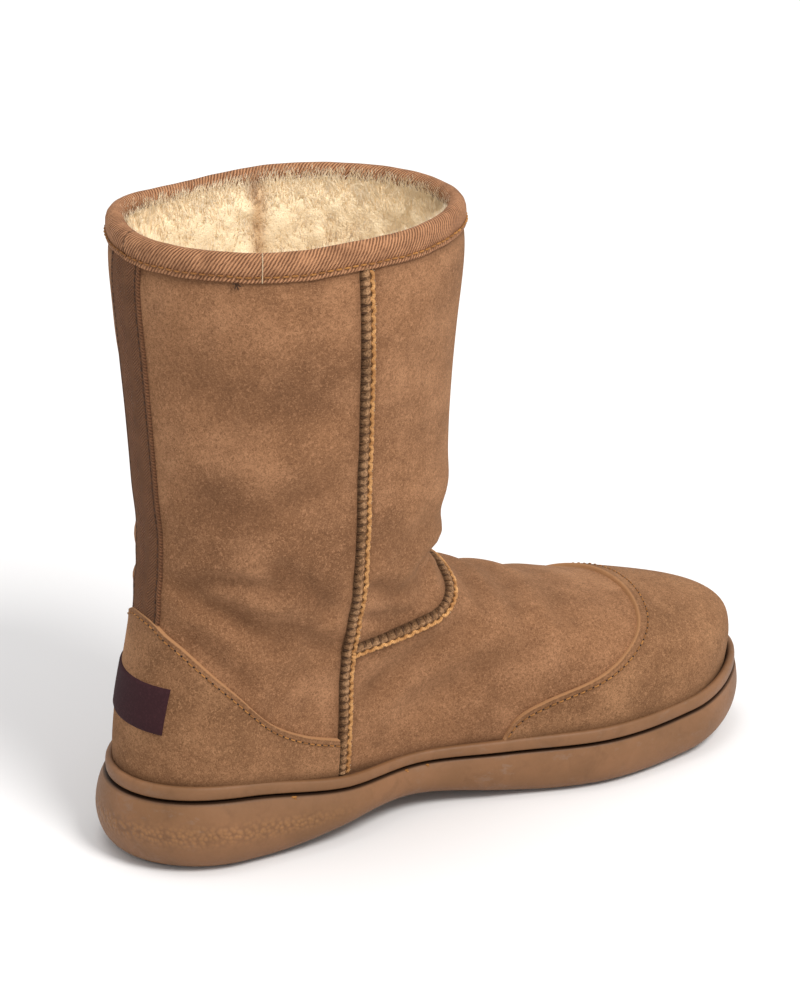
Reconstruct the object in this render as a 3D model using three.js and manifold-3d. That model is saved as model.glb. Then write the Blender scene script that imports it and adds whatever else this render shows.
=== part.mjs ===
// Sheepskin boot for a left foot, empty and standing on its sole.
// Millimetres. +Z is up, the toe points to +X and the outer side of the foot to +Y.
// The origin is on the floor, under the middle of the boot's own box.
import * as THREE from "three";
import { mergeVertices } from "three/addons/utils/BufferGeometryUtils.js";
import Module from "manifold-3d";

const wasm = await Module();
wasm.setup();

// Driving dimensions of the whole boot
const SOLE_LENGTH = 300;
const BALL_WIDTH = 110;
const INSTEP_HEIGHT = 104; // floor to the bend between vamp and shaft
const BOOT_HEIGHT = 260; // floor to the top of the collar
const COLLAR_DEPTH = 142; // front to back, where the shaft is widest
const COLLAR_WIDTH = 114; // side to side, at the same height
const LEG_SETBACK = 87.5; // heel end of the sole to the middle of the collar

// Sole: heights from the floor to the top of the rim, and what is cut from or added to its side
const HEEL_STACK = 37;
const WAIST_STACK = 26.5;
const BALL_STACK = 27;
const TOE_SPRING = 8;
const ARCH_INNER = 7; // rise of the underside at the arch, on the inner edge
const ARCH_OUTER = 3;
const RIM_HEIGHT = 7; // rim that shows above the groove, at heel and ball
const WAIST_RIM_HEIGHT = 5.5;
const RIM_LAP = 3.5; // depth of the cup that holds the upper
const GROOVE_DEPTH = 2.4;
const HEEL_FLARE = 4.5; // how far the outsole stands out past the rim, at the heel
const BALL_FLARE = 1.4;
const HEEL_ROUNDING = 9; // how far the side rolls in before it meets the floor
const BALL_ROUNDING = 6.5;
const LUG_HEIGHT = 2.2;
const BORDER_RISE = 0.6; // the smooth border lies this far above the faces of the lugs
const BORDER_WIDTH = 3;

// Upper and what is sewn to it
const UPPER_WALL = 3;
const INSOLE_THICKNESS = 7;
const OVERLAY_THICKNESS = 1.6;
const SEAM_WIDTH = 5;
const SEAM_PROUD = 2.4;
const SIDE_SEAM_SETBACK = 90.5; // heel end of the sole to the side seams
const STRIP_WIDTH = 22;
const STRIP_THICKNESS = 1.2;
const BINDING_DROP = 11;
const BINDING_INSIDE_DROP = 7;
const BINDING_THICKNESS = 1.6;
const LABEL_WIDTH = 42;
const LABEL_HEIGHT = 19;
const LABEL_RISE = 67; // floor to the middle of the label
const LABEL_THICKNESS = 0.8;
const GAP = 0.3; // clearance between pieces that touch

// Columns round each ring: steps in the heel curve, along the side, and in the toe curve
const HEEL_STEPS = 5;
const SIDE_STEPS = 8;
const TOE_STEPS = 6;
const HALF_STEPS = HEEL_STEPS + SIDE_STEPS + TOE_STEPS;
const RINGS_PER_ROW = 2;
const LINE_STEPS = 3; // steps between two points of an overlay's edge
const NUDGE = 1e-3; // step over which the direction of a curve is taken
const HALVINGS = 40; // of the range in which a height is searched
const BEYOND = 30; // how far a cutting block runs past what it cuts

// Plan of the sole at its widest. at is the share of SOLE_LENGTH from the heel end. half and centre are
// shares of BALL_WIDTH: half the width there, and how far the middle lies towards the outer side.
const SOLE_PLAN = [
  { at: 0, half: 0.375, centre: -0.01 },
  { at: 0.17, half: 0.385, centre: -0.008 },
  { at: 0.3, half: 0.392, centre: -0.002 },
  { at: 0.43, half: 0.358, centre: 0.046 },
  { at: 0.55, half: 0.42, centre: 0.035 },
  { at: 0.7, half: 0.492, centre: 0.005 },
  { at: 0.85, half: 0.42, centre: -0.025 },
  { at: 1, half: 0.31, centre: -0.06 },
];
const SOLE_CAPS = { heel: 0.15, toe: 0.15 }; // lengths of the rounded ends, as shares of SOLE_LENGTH

// Side view of the sole: how much of each stack height and rim height holds at each place
const SOLE_SIDE = [
  { at: 0, heel: 1, waist: 0, narrow: 0 },
  { at: 0.14, heel: 0.95, waist: 0.05, narrow: 0.2 },
  { at: 0.3, heel: 0.2, waist: 0.8, narrow: 0.9 },
  { at: 0.43, heel: 0, waist: 1, narrow: 1 },
  { at: 0.62, heel: 0, waist: 0.1, narrow: 0.2 },
  { at: 1, heel: 0, waist: 0, narrow: 0 },
];
const ARCH_SPAN = { from: 0.17, top: 0.36, to: 0.64 }; // shares of SOLE_LENGTH
const SPRING_FROM = 0.76; // where the toe starts to lift, as a share of SOLE_LENGTH

// Side wall of the outsole from the tread up: up is the share of its height, and roll and flare are the
// shares of the rounding and of the flare by which it lies inside the sole's widest line.
const WALL_PROFILE = [
  { up: 0, roll: 0.9, flare: 0 },
  { up: 0.08, roll: 0.5, flare: 0 },
  { up: 0.25, roll: 0.16, flare: 0 },
  { up: 0.52, roll: 0, flare: 0 },
  { up: 0.82, roll: 0, flare: 0.3 },
  { up: 1, roll: 0, flare: 0.8 },
];

// Side wall of the rim from the outsole up: up is the share of its height, and inset is how far it lies
// inside the flare. Its foot is drawn in for the groove.
const RIM_PROFILE = [
  { up: 0, inset: GROOVE_DEPTH },
  { up: 0.15, inset: GROOVE_DEPTH },
  { up: 0.22, inset: 0.3 },
  { up: 0.6, inset: 0 },
  { up: 0.9, inset: 0.5 },
  { up: 1, inset: 1.3 },
];

// Sections through the foot, from the feather edge up to the instep. backX and frontX are shares of
// SOLE_LENGTH from the heel end, backZ and frontZ shares of INSTEP_HEIGHT; both are left out of the
// first row, which lies on the sole. heelCap and toeCap are the rounded ends as shares of SOLE_LENGTH,
// and bow is how much of the sole's own curve is followed. The half-widths at heel, waist, ball, tip
// and toe are shares of BALL_WIDTH.
const FOOT_ROWS = [
  { backX: 0.031, frontX: 0.974, heelCap: 0.14, toeCap: 0.15, bow: 1,
    heel: 0.318, waist: 0.315, ball: 0.44, tip: 0.385, toe: 0.28 },
  { backX: 0.033, backZ: 0.415, frontX: 0.979, frontZ: 0.43, heelCap: 0.14, toeCap: 0.16, bow: 1,
    heel: 0.335, waist: 0.33, ball: 0.452, tip: 0.395, toe: 0.29 },
  { backX: 0.038, backZ: 0.54, frontX: 0.968, frontZ: 0.51, heelCap: 0.14, toeCap: 0.17, bow: 1,
    heel: 0.341, waist: 0.335, ball: 0.437, tip: 0.375, toe: 0.28 },
  { backX: 0.045, backZ: 0.655, frontX: 0.925, frontZ: 0.58, heelCap: 0.14, toeCap: 0.18, bow: 0.9,
    heel: 0.336, waist: 0.342, ball: 0.4, tip: 0.34, toe: 0.25 },
  { backX: 0.053, backZ: 0.76, frontX: 0.848, frontZ: 0.64, heelCap: 0.145, toeCap: 0.18, bow: 0.8,
    heel: 0.336, waist: 0.352, ball: 0.365, tip: 0.305, toe: 0.23 },
  { backX: 0.06, backZ: 0.855, frontX: 0.755, frontZ: 0.697, heelCap: 0.15, toeCap: 0.17, bow: 0.6,
    heel: 0.341, waist: 0.364, ball: 0.34, tip: 0.285, toe: 0.22 },
  { backX: 0.067, backZ: 0.94, frontX: 0.65, frontZ: 0.783, heelCap: 0.16, toeCap: 0.16, bow: 0.35,
    heel: 0.355, waist: 0.38, ball: 0.338, tip: 0.295, toe: 0.245 },
  { backX: 0.072, backZ: 1.03, frontX: 0.543, frontZ: 0.892, heelCap: 0.17, toeCap: 0.155, bow: 0.15,
    heel: 0.373, waist: 0.405, ball: 0.366, tip: 0.335, toe: 0.3 },
  { backX: 0.074, backZ: 1.135, frontX: 0.488, frontZ: 1.035, heelCap: 0.185, toeCap: 0.175, bow: 0.05,
    heel: 0.41, waist: 0.44, ball: 0.42, tip: 0.405, toe: 0.39 },
];
const ROW_STATIONS = { heel: 0.17, waist: 0.43, ball: 0.7, tip: 0.85, toe: 1 }; // shares of the section
const SAG_STEP = 0.22; // each section up follows the sole's dip by this much less

// Sections through the shaft: up is the share of the way from the instep to the collar, and depth and
// width are shares of COLLAR_DEPTH and COLLAR_WIDTH. The binding draws the top in a little.
const SHAFT_ROWS = [
  { up: 0.2, depth: 0.905, width: 0.91 },
  { up: 0.44, depth: 0.935, width: 0.934 },
  { up: 0.68, depth: 0.97, width: 0.968 },
  { up: 0.88, depth: 0.995, width: 0.99 },
  { up: 1, depth: 0.96, width: 0.955 },
];
const SHAFT_CAP = 0.46; // rounded end of a shaft section, as a share of its depth

// Lines of the overlays in side view. up is a share of INSTEP_HEIGHT. along is a share of SOLE_LENGTH
// from the heel end, and on the counter a share of the way from the heel end to the side seam.
const COUNTER_EDGE = [
  { along: 0, up: 1 },
  { along: 0.21, up: 0.99 },
  { along: 0.28, up: 0.925 },
  { along: 0.4, up: 0.803 },
  { along: 0.5, up: 0.712 },
  { along: 0.64, up: 0.583 },
  { along: 0.81, up: 0.497 },
  { along: 1, up: 0.438 },
];
const TOE_CAP_EDGE = [
  { along: 0.545, up: 0.2 },
  { along: 0.567, up: 0.34 },
  { along: 0.61, up: 0.41 },
  { along: 0.685, up: 0.475 },
  { along: 0.75, up: 0.56 },
  { along: 0.8, up: 0.66 },
  { along: 0.83, up: 0.78 },
];
const ANKLE_SEAM = [
  { along: 0.285, up: 0.81 },
  { along: 0.4, up: 0.85 },
  { along: 0.45, up: 0.875 },
  { along: 0.485, up: 0.915 },
  { along: 0.51, up: 0.99 },
];

// Lugs of the tread in plan: corners as percentages, along SOLE_LENGTH from the heel end and across
// BALL_WIDTH towards the outer side.
const LUGS = {
  heelBack: [[2.7, 4], [4, 11], [6.7, 0], [9.8, -8.5], [6.3, -22], [3.7, -14]],
  heelBackOuter: [[6, 11], [7.3, 16.5], [9.3, 17.5], [15, 12], [11, -5], [9.7, -3.5]],
  heelOuterEdge: [[7, 24], [10, 27], [16.7, 29.5], [22.3, 29.5], [19.3, 14.5], [14, 17.7]],
  heelOuterFront: [[21.7, 10], [23.7, 28.5], [25.3, 29], [30.7, 12], [32.3, 3], [31.3, -1.5], [29.3, 0]],
  heelMiddle: [[14.7, -2], [17, 9], [20.3, 8.5], [22.3, 2.5], [20, -20], [18.7, -19.5], [15.3, -10]],
  innerHeel: [[8, -24], [12.8, -9], [15.7, -16.5], [20, -24.5], [19.7, -27], [14.7, -27.3], [10.7, -26.5]],
  heelInnerFront: [[21.3, -26.5], [24, 0], [26.7, 0], [30.7, -7.7], [27.7, -25]],
  firstInner: [[42, -1.8], [43.7, 1.8], [49.3, 5], [52.7, -26], [51.7, -26.5], [46.7, -16.5], [43.7, -8]],
  firstOuter: [[43, 7], [44.7, 14.5], [48.7, 28], [53, 38], [51, 25.5], [50, 9]],
  secondOuter: [[52.7, 11.5], [54, 35.5], [56, 36], [59.2, 28], [60.3, 9]],
  secondInner: [[50.8, 6], [55, 7], [59.3, 3.7], [60.7, 1], [54.3, -18], [53.2, -17.7]],
  outerSliver: [[56.5, 39], [60.3, 41], [62.3, 40.5], [65.7, 30], [60.7, 33.5]],
  outerWedge: [[64, 41.5], [68, 42.3], [75.3, 39], [72.7, 27.3], [68.3, 33.5]],
  ballMiddle: [[61, 29], [66.3, 27.7], [71.5, 24.5], [71.7, 8], [62.3, 5.5]],
  ballInner: [[56.2, -19.5], [60.7, -8], [63, 2], [69.5, 3], [69, -15.5], [67.2, -28], [62.7, -26.5]],
  innerSliver: [[54.5, -28.5], [57, -26], [62.7, -30], [67.7, -32], [68.5, -39], [64.3, -38.3], [59.3, -33.7]],
  thirdOuter: [[74, 18.5], [76.2, 38], [80, 36.5], [86.3, 29], [84, 17.7]],
  thirdInner: [[69.3, -32.7], [72, 6], [76, -3.7], [80.3, -17.3], [74.7, -26.3], [70.3, -33]],
  thirdMiddle: [[73.5, 10], [78, 13], [84.3, 12.3], [83.2, 2.7], [80.5, -9]],
  innerEdge: [[70.8, -39.5], [73.3, -32.7], [80.2, -22.7], [80.8, -37.3]],
  toeInner: [[81.7, -36.8], [82, -22.7], [83.5, -6.5], [86.7, -14.5], [90.7, -21], [91.5, -30], [86.7, -35]],
  toeMid: [[84.5, 0], [86, 3.7], [90.3, 9.5], [95.3, 13], [96.5, 1], [93.7, -6.5], [91.7, -15], [87.3, -9]],
  toeOuter: [[86.7, 9], [87, 27.3], [90.3, 23.7], [93.8, 15.5], [90, 12.3]],
  toeTip: [[92.5, -27.3], [92.8, -18], [94.7, -9], [97, -4], [97, -12], [95.2, -22]],
};

const mix = (a, b, share) => a + (b - a) * share;
const { smoothstep, clamp } = THREE.MathUtils;

// Smooth curve through points [at, value], held at its ends.
function through(points, at) {
  const last = points.length - 1;
  let i = 0;
  while (i < last - 1 && at > points[i + 1][0]) i += 1;
  const slope = (n) => {
    const before = points[Math.max(n - 1, 0)];
    const after = points[Math.min(n + 1, last)];
    return (after[1] - before[1]) / (after[0] - before[0]);
  };
  const [start, end] = [points[i], points[i + 1]];
  const span = end[0] - start[0];
  const k = clamp((at - start[0]) / span, 0, 1);
  const rise = end[1] - start[1];
  const [out, into] = [slope(i) * span, slope(i + 1) * span];
  return start[1] + k * (out + k * (3 * rise - 2 * out - into + k * (out + into - 2 * rise)));
}

// The value of one column of a table at a share of the length.
const column = (table, name, share) => through(table.map((row) => [row.at, row[name]]), share);

// Heights and insets along the sole, each at a share of its length from the heel end
const toeSpring = (share) => TOE_SPRING * (Math.max(share - SPRING_FROM, 0) / (1 - SPRING_FROM)) ** 2;
const rimTop = (share) => {
  const [heel, waist] = [column(SOLE_SIDE, "heel", share), column(SOLE_SIDE, "waist", share)];
  return HEEL_STACK * heel + WAIST_STACK * waist + BALL_STACK * (1 - heel - waist) + toeSpring(share);
};
const rimHeight = (share) => mix(RIM_HEIGHT, WAIST_RIM_HEIGHT, column(SOLE_SIDE, "narrow", share));
const rimBase = (share) => rimTop(share) - rimHeight(share);
const footbed = (share) => rimTop(share) - RIM_LAP;
const flare = (share) => mix(HEEL_FLARE, BALL_FLARE, smoothstep(share, 0, ROW_STATIONS.ball));
const rounding = (share) => mix(HEEL_ROUNDING, BALL_ROUNDING, smoothstep(share, 0, ROW_STATIONS.ball));

// Height of the tread above the floor; side is 1 on the outer edge and -1 on the inner one.
function tread(share, side) {
  const { from, top, to } = ARCH_SPAN;
  const arch = smoothstep(share, from, top) * (1 - smoothstep(share, top, to));
  return arch * mix(ARCH_INNER, ARCH_OUTER, (1 + side) / 2) + toeSpring(share);
}

const soleX = (share) => (share - 0.5) * SOLE_LENGTH;
const soleShare = (x) => clamp(x / SOLE_LENGTH + 0.5, 0, 1);

const SEAM_X = soleX(0) + SIDE_SEAM_SETBACK;
const SIDE_REACH = BALL_WIDTH / 2 + BEYOND;
const BINDING_BOTTOM = BOOT_HEIGHT - BINDING_DROP;

// Where step q lies on one side of a ring: q runs from 0 at the heel end to 1 at the toe end, and caps
// are the rounded ends as shares of the ring. Gives the share of its length, and how full its width is.
function station(q, caps) {
  const heelEnd = HEEL_STEPS / HALF_STEPS;
  const toeStart = 1 - TOE_STEPS / HALF_STEPS;
  if (q < heelEnd) {
    const angle = ((q / heelEnd) * Math.PI) / 2;
    return { share: caps.heel * (1 - Math.cos(angle)), full: Math.sin(angle) };
  }
  if (q > toeStart) {
    const angle = (((1 - q) / (1 - toeStart)) * Math.PI) / 2;
    return { share: 1 - caps.toe * (1 - Math.cos(angle)), full: Math.sin(angle) };
  }
  return { share: mix(caps.heel, 1 - caps.toe, (q - heelEnd) / (toeStart - heelEnd)), full: 1 };
}

// A step round a ring as a side and a q. It runs from 0 at the heel over 1 at the toe to 2 at the heel
// again, first along the outer side and then back along the inner one.
function sideOf(step) {
  const turn = (step + 2) % 2;
  return turn <= 1 ? { side: 1, q: turn } : { side: -1, q: 2 - turn };
}

const steps = Array.from({ length: 2 * HALF_STEPS }, (_, j) => j / HALF_STEPS);

// A point of a section through the upper.
function sectionPoint(row, step) {
  const { side, q } = sideOf(step);
  const length = row.frontX - row.backX;
  const { share, full } = station(q, { heel: row.heelCap / length, toe: row.toeCap / length });
  const half = through(
    Object.entries(ROW_STATIONS).map(([name, at]) => [at, row[name]]),
    Math.max(share, ROW_STATIONS.heel),
  );
  const x = mix(row.backX, row.frontX, share);
  const along = soleShare(x);
  const chord = mix(footbed(soleShare(row.backX)), footbed(soleShare(row.frontX)), share);
  return new THREE.Vector3(
    x,
    row.bow * BALL_WIDTH * column(SOLE_PLAN, "centre", along) + side * half * full,
    mix(row.backZ, row.frontZ, share) + row.sag * (footbed(along) - chord),
  );
}

const UPPER_TOP = BOOT_HEIGHT - BINDING_THICKNESS - GAP;

// The rows of both tables in millimetres, from the feather edge to the top of the shaft.
const ROWS = [
  ...FOOT_ROWS.map((row, n) => ({
    backX: soleX(row.backX),
    frontX: soleX(row.frontX),
    backZ: n === 0 ? footbed(row.backX) + GAP : row.backZ * INSTEP_HEIGHT,
    frontZ: n === 0 ? footbed(row.frontX) + GAP : row.frontZ * INSTEP_HEIGHT,
    heel: row.heel * BALL_WIDTH,
    waist: row.waist * BALL_WIDTH,
    ball: row.ball * BALL_WIDTH,
    tip: row.tip * BALL_WIDTH,
    toe: row.toe * BALL_WIDTH,
    bow: row.bow,
    sag: Math.max(1 - n * SAG_STEP, 0),
    heelCap: row.heelCap * SOLE_LENGTH,
    toeCap: row.toeCap * SOLE_LENGTH,
  })),
  ...SHAFT_ROWS.map((row) => {
    const depth = row.depth * COLLAR_DEPTH;
    const half = (row.width * COLLAR_WIDTH) / 2;
    const z = mix(INSTEP_HEIGHT, UPPER_TOP, row.up);
    const middle = soleX(0) + LEG_SETBACK;
    return {
      backX: middle - depth / 2,
      frontX: middle + depth / 2,
      backZ: z,
      frontZ: z,
      heel: half,
      waist: half,
      ball: half,
      tip: half,
      toe: half,
      bow: 0,
      sag: 0,
      heelCap: depth * SHAFT_CAP,
      toeCap: depth * SHAFT_CAP,
    };
  }),
];
const TOP = ROWS.length - 1;

// The section at height v, from 0 at the feather edge to TOP.
function sectionAt(v) {
  const names = Object.keys(ROWS[0]);
  return Object.fromEntries(names.map((name) => [name, through(ROWS.map((row, n) => [n, row[name]]), v)]));
}

// The upper's outer surface at height v, moved out along its normal by proud.
function upperRing(v, proud) {
  const [row, below, above] = [v, Math.max(v - NUDGE, 0), Math.min(v + NUDGE, TOP)].map(sectionAt);
  return steps.map((step) => {
    const rise = sectionPoint(above, step).sub(sectionPoint(below, step));
    const run = sectionPoint(row, step + NUDGE).sub(sectionPoint(row, step - NUDGE));
    return sectionPoint(row, step).addScaledVector(rise.cross(run).normalize(), proud);
  });
}

const heights = Array.from({ length: TOP * RINGS_PER_ROW + 1 }, (_, n) => n / RINGS_PER_ROW);

// A manifold from plain lists of coordinates and of triangles.
function solid(coordinates, triangles) {
  return new wasm.Manifold(
    new wasm.Mesh({
      numProp: 3,
      vertProperties: new Float32Array(coordinates),
      triVerts: new Uint32Array(triangles),
    }),
  );
}

// A solid through rings of points. closed joins the last ring to the first, as a wall that runs round;
// otherwise the first and last rings are covered.
function loft(rings, closed = false) {
  const count = rings[0].length;
  const triangles = [];
  const id = (i, j) => (i % rings.length) * count + (j % count);
  for (let i = 0; i < rings.length - (closed ? 0 : 1); i += 1) {
    for (let j = 0; j < count; j += 1) {
      triangles.push(id(i, j), id(i + 1, j), id(i, j + 1));
      triangles.push(id(i, j + 1), id(i + 1, j), id(i + 1, j + 1));
    }
  }
  if (!closed) {
    const last = rings.length - 1;
    for (let j = 0; j < count / 2; j += 1) {
      const [a, b, c, d] = [j, j + 1, count - j - 1, (count - j) % count];
      if (b !== c) triangles.push(id(0, a), id(0, b), id(0, c), id(last, a), id(last, c), id(last, b));
      if (a !== d) triangles.push(id(0, a), id(0, c), id(0, d), id(last, a), id(last, d), id(last, c));
    }
  }
  return solid(
    rings.flatMap((ring) => ring.flatMap((point) => point.toArray())),
    triangles,
  );
}

// All that lies inside the upper's outer surface, grown by proud and run on by reach at both ends.
function upperForm(proud, reach) {
  const rings = heights.map((v) => upperRing(v, proud));
  const moved = (ring, rise) => ring.map((point) => point.clone().setZ(point.z + rise));
  return loft([moved(rings[0], -reach), ...rings, moved(rings.at(-1), reach)]);
}

// A sheet that lies on the upper, between two distances from its surface.
const sheet = (from, thickness) => upperForm(from + thickness, GAP).subtract(upperForm(from, BEYOND));

// A straight block from an outline of [across, up] points. It is drawn in side view and runs along Y,
// or in back view and runs along X, or in plan and runs along Z.
function block(outline, view, from, to) {
  const shape = new THREE.Shape(outline.map(([across, up]) => new THREE.Vector2(across, up)));
  const geometry = new THREE.ExtrudeGeometry(shape, { depth: to - from, bevelEnabled: false });
  const [x, y, z] = [new THREE.Vector3(1, 0, 0), new THREE.Vector3(0, 1, 0), new THREE.Vector3(0, 0, 1)];
  const placed = {
    side: () => new THREE.Matrix4().makeBasis(x, z, y.clone().negate()).setPosition(0, to, 0),
    back: () => new THREE.Matrix4().makeBasis(y, z, x).setPosition(from, 0, 0),
    plan: () => new THREE.Matrix4().setPosition(0, 0, from),
  };
  geometry.applyMatrix4(placed[view]());
  geometry.deleteAttribute("normal");
  geometry.deleteAttribute("uv");
  const merged = mergeVertices(geometry);
  return solid(merged.attributes.position.array, merged.index.array);
}

const rectangle = (left, right, bottom, top) => [
  [left, bottom],
  [right, bottom],
  [right, top],
  [left, top],
];

// A smooth line through the rows of a table, with run as the length that along is a share of.
function smoothLine(rows, run) {
  const points = rows.map(({ along, up }) => new THREE.Vector2(soleX(0) + along * run, up * INSTEP_HEIGHT));
  return new THREE.SplineCurve(points).getPoints(LINE_STEPS * (rows.length - 1));
}

// The sole's plan drawn in by inset(share), at the height that height(share, side) gives.
function soleRing(inset, height) {
  const planPoint = (step) => {
    const { side, q } = sideOf(step);
    const { share, full } = station(q, SOLE_CAPS);
    const half = column(SOLE_PLAN, "half", share) * full;
    return new THREE.Vector2(soleX(share), BALL_WIDTH * (column(SOLE_PLAN, "centre", share) + side * half));
  };
  return steps.map((step) => {
    const run = planPoint(step + NUDGE).sub(planPoint(step - NUDGE)).normalize();
    const at = planPoint(step);
    const depth = inset(soleShare(at.x));
    const [x, y] = [at.x + run.y * depth, at.y - run.x * depth];
    return new THREE.Vector3(x, y, height(soleShare(x), sideOf(step).side));
  });
}

// The outsole's body, with its tread cut back by recess inside the border.
function outsoleForm(recess) {
  const foot = WALL_PROFILE[0].roll;
  const borderEdge = (share) => rounding(share) * foot + BORDER_WIDTH;
  const wall = WALL_PROFILE.map(({ up, roll, flare: out }) =>
    soleRing(
      (share) => rounding(share) * roll + flare(share) * out,
      (share, side) => mix(tread(share, side) + BORDER_RISE, rimBase(share), up),
    ),
  );
  return loft([
    soleRing(borderEdge, (share, side) => tread(share, side) + recess),
    soleRing(borderEdge, (share, side) => tread(share, side) + BORDER_RISE),
    ...wall,
  ]);
}

function outsole() {
  const lugs = Object.values(LUGS).map((corners) => {
    const outline = corners.map(([along, across]) => [soleX(along / 100), (across / 100) * BALL_WIDTH]);
    const clockwise = THREE.ShapeUtils.isClockWise(outline.map(([x, y]) => new THREE.Vector2(x, y)));
    return block(clockwise ? outline.reverse() : outline, "plan", -BEYOND, WAIST_STACK / 2);
  });
  const treadLayer = outsoleForm(0).intersect(wasm.Manifold.union(lugs));
  return outsoleForm(LUG_HEIGHT).add(treadLayer);
}

// The platform under the upper, with the rim that cups it and the groove below the rim.
function midsole() {
  const wall = RIM_PROFILE.map(({ up, inset }) =>
    soleRing(
      (share) => flare(share) + inset,
      (share) => mix(rimBase(share) + GAP, rimTop(share), up),
    ),
  );
  const seat = upperRing(0, GAP).map((point) => point.setZ(footbed(soleShare(point.x))));
  const cup = [seat, ...heights.slice(1).map((v) => upperRing(v, GAP))];
  return loft(wall).subtract(loft(cup));
}

function insole() {
  const bottom = upperRing(0, -UPPER_WALL - 2 * GAP).map((point) =>
    point.setZ(footbed(soleShare(point.x)) + GAP),
  );
  return loft([bottom, bottom.map((point) => point.clone().setZ(point.z + INSOLE_THICKNESS))]);
}

function upper() {
  const outer = heights.map((v) => upperRing(v, 0));
  const inner = heights.map((v) => upperRing(v, -UPPER_WALL)).reverse();
  return loft([...outer, ...inner], true);
}

// Everything up to just above the rim, where the overlays stop.
function belowRim() {
  const outside = () => -BEYOND / 2;
  return loft([soleRing(outside, () => -BEYOND), soleRing(outside, (share) => rimTop(share) + GAP)]);
}

// The side view of the heel counter, moved up by clear.
function counterBlock(clear) {
  const front = SEAM_X - SEAM_WIDTH / 2 - GAP;
  const edge = smoothLine(COUNTER_EDGE, front - soleX(0)).map((point) => [point.x, point.y + clear]);
  const back = soleX(0) - BEYOND;
  const outline = [[back, -BEYOND], [front, -BEYOND], ...edge.reverse(), [back, edge.at(-1)[1]]];
  return block(outline, "side", -SIDE_REACH, SIDE_REACH);
}

const heelCounter = () => sheet(GAP, OVERLAY_THICKNESS).intersect(counterBlock(0)).subtract(belowRim());

function toeCap() {
  const edge = smoothLine(TOE_CAP_EDGE, SOLE_LENGTH).map((point) => [point.x, point.y]);
  const front = soleX(1) + BEYOND;
  const outline = [[edge[0][0], -BEYOND], [front, -BEYOND], [front, edge.at(-1)[1]], ...edge.reverse()];
  return sheet(GAP, OVERLAY_THICKNESS)
    .intersect(block(outline, "side", -SIDE_REACH, SIDE_REACH))
    .subtract(belowRim());
}

function backStrip() {
  const half = STRIP_WIDTH / 2;
  const strip = block(rectangle(-half, half, 0, BINDING_BOTTOM - GAP), "back", soleX(0) - BEYOND, SEAM_X);
  return sheet(GAP, STRIP_THICKNESS).intersect(strip).subtract(counterBlock(GAP));
}

// A raised seam down one side; side is 1 for the outer seam and -1 for the inner one.
function sideSeam(side) {
  const half = SEAM_WIDTH / 2;
  const [near, far] = side > 0 ? [0, SIDE_REACH] : [-SIDE_REACH, 0];
  const strip = block(rectangle(SEAM_X - half, SEAM_X + half, 0, BINDING_BOTTOM - GAP), "side", near, far);
  return sheet(GAP, SEAM_PROUD).intersect(strip).subtract(belowRim());
}

// The raised seam between vamp and shaft, from one side seam round the front to the other.
function ankleSeam() {
  const line = smoothLine(ANKLE_SEAM, SOLE_LENGTH);
  const offset = (sign) =>
    line.map((point, n) => {
      const run = line[Math.min(n + 1, line.length - 1)].clone().sub(line[Math.max(n - 1, 0)]).normalize();
      return [point.x - sign * run.y * (SEAM_WIDTH / 2), point.y + sign * run.x * (SEAM_WIDTH / 2)];
    });
  const strip = block([...offset(-1), ...offset(1).reverse()], "side", -SIDE_REACH, SIDE_REACH);
  const behind = rectangle(soleX(0), SEAM_X + SEAM_WIDTH / 2 + GAP, 0, BOOT_HEIGHT);
  return sheet(GAP, SEAM_PROUD).intersect(strip).subtract(block(behind, "side", -SIDE_REACH, SIDE_REACH));
}

// The binding folds over the top of the wall, longer outside than inside.
function collarBinding() {
  const heightAt = (z) => {
    let [low, high] = [0, TOP];
    for (let i = 0; i < HALVINGS; i += 1) {
      const middle = (low + high) / 2;
      if (sectionAt(middle).backZ < z) low = middle;
      else high = middle;
    }
    return low;
  };
  const ring = (z, proud) =>
    upperRing(heightAt(Math.min(z, UPPER_TOP)), proud).map((point) => point.setZ(z));
  const [out, inn] = [GAP, -UPPER_WALL - GAP];
  const thick = BINDING_THICKNESS;
  return loft(
    [
      ring(BINDING_BOTTOM, out + thick),
      ring(BOOT_HEIGHT - thick, out + thick),
      ring(BOOT_HEIGHT, out),
      ring(BOOT_HEIGHT, inn),
      ring(BOOT_HEIGHT - thick, inn - thick),
      ring(BOOT_HEIGHT - BINDING_INSIDE_DROP, inn - thick),
      ring(BOOT_HEIGHT - BINDING_INSIDE_DROP, inn),
      ring(BOOT_HEIGHT - thick, inn),
      ring(BOOT_HEIGHT - thick, out),
      ring(BINDING_BOTTOM, out),
    ],
    true,
  );
}

function heelLabel() {
  const [half, rise] = [LABEL_WIDTH / 2, LABEL_HEIGHT / 2];
  const outline = rectangle(-half, half, LABEL_RISE - rise, LABEL_RISE + rise);
  const patch = block(outline, "back", soleX(0) - BEYOND, SEAM_X);
  return sheet(OVERLAY_THICKNESS + 2 * GAP, LABEL_THICKNESS).intersect(patch);
}

const SUEDE = 0x9c7350;
const GUM = 0xa9794b;
const pieces = [
  { name: "outsole", make: outsole, color: GUM },
  { name: "midsole", make: midsole, color: GUM },
  { name: "insole", make: insole, color: 0xead9b5 },
  { name: "upper", make: upper, color: SUEDE },
  { name: "toe_cap", make: toeCap, color: SUEDE },
  { name: "heel_counter", make: heelCounter, color: SUEDE },
  { name: "back_strip", make: backStrip, color: 0x85603f },
  { name: "side_seam_inner", make: () => sideSeam(-1), color: 0xb08048 },
  { name: "side_seam_outer", make: () => sideSeam(1), color: 0xb08048 },
  { name: "ankle_seam", make: ankleSeam, color: 0xb08048 },
  { name: "collar_binding", make: collarBinding, color: 0x85603f },
  { name: "heel_label", make: heelLabel, color: 0x3b2528 },
];

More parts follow.
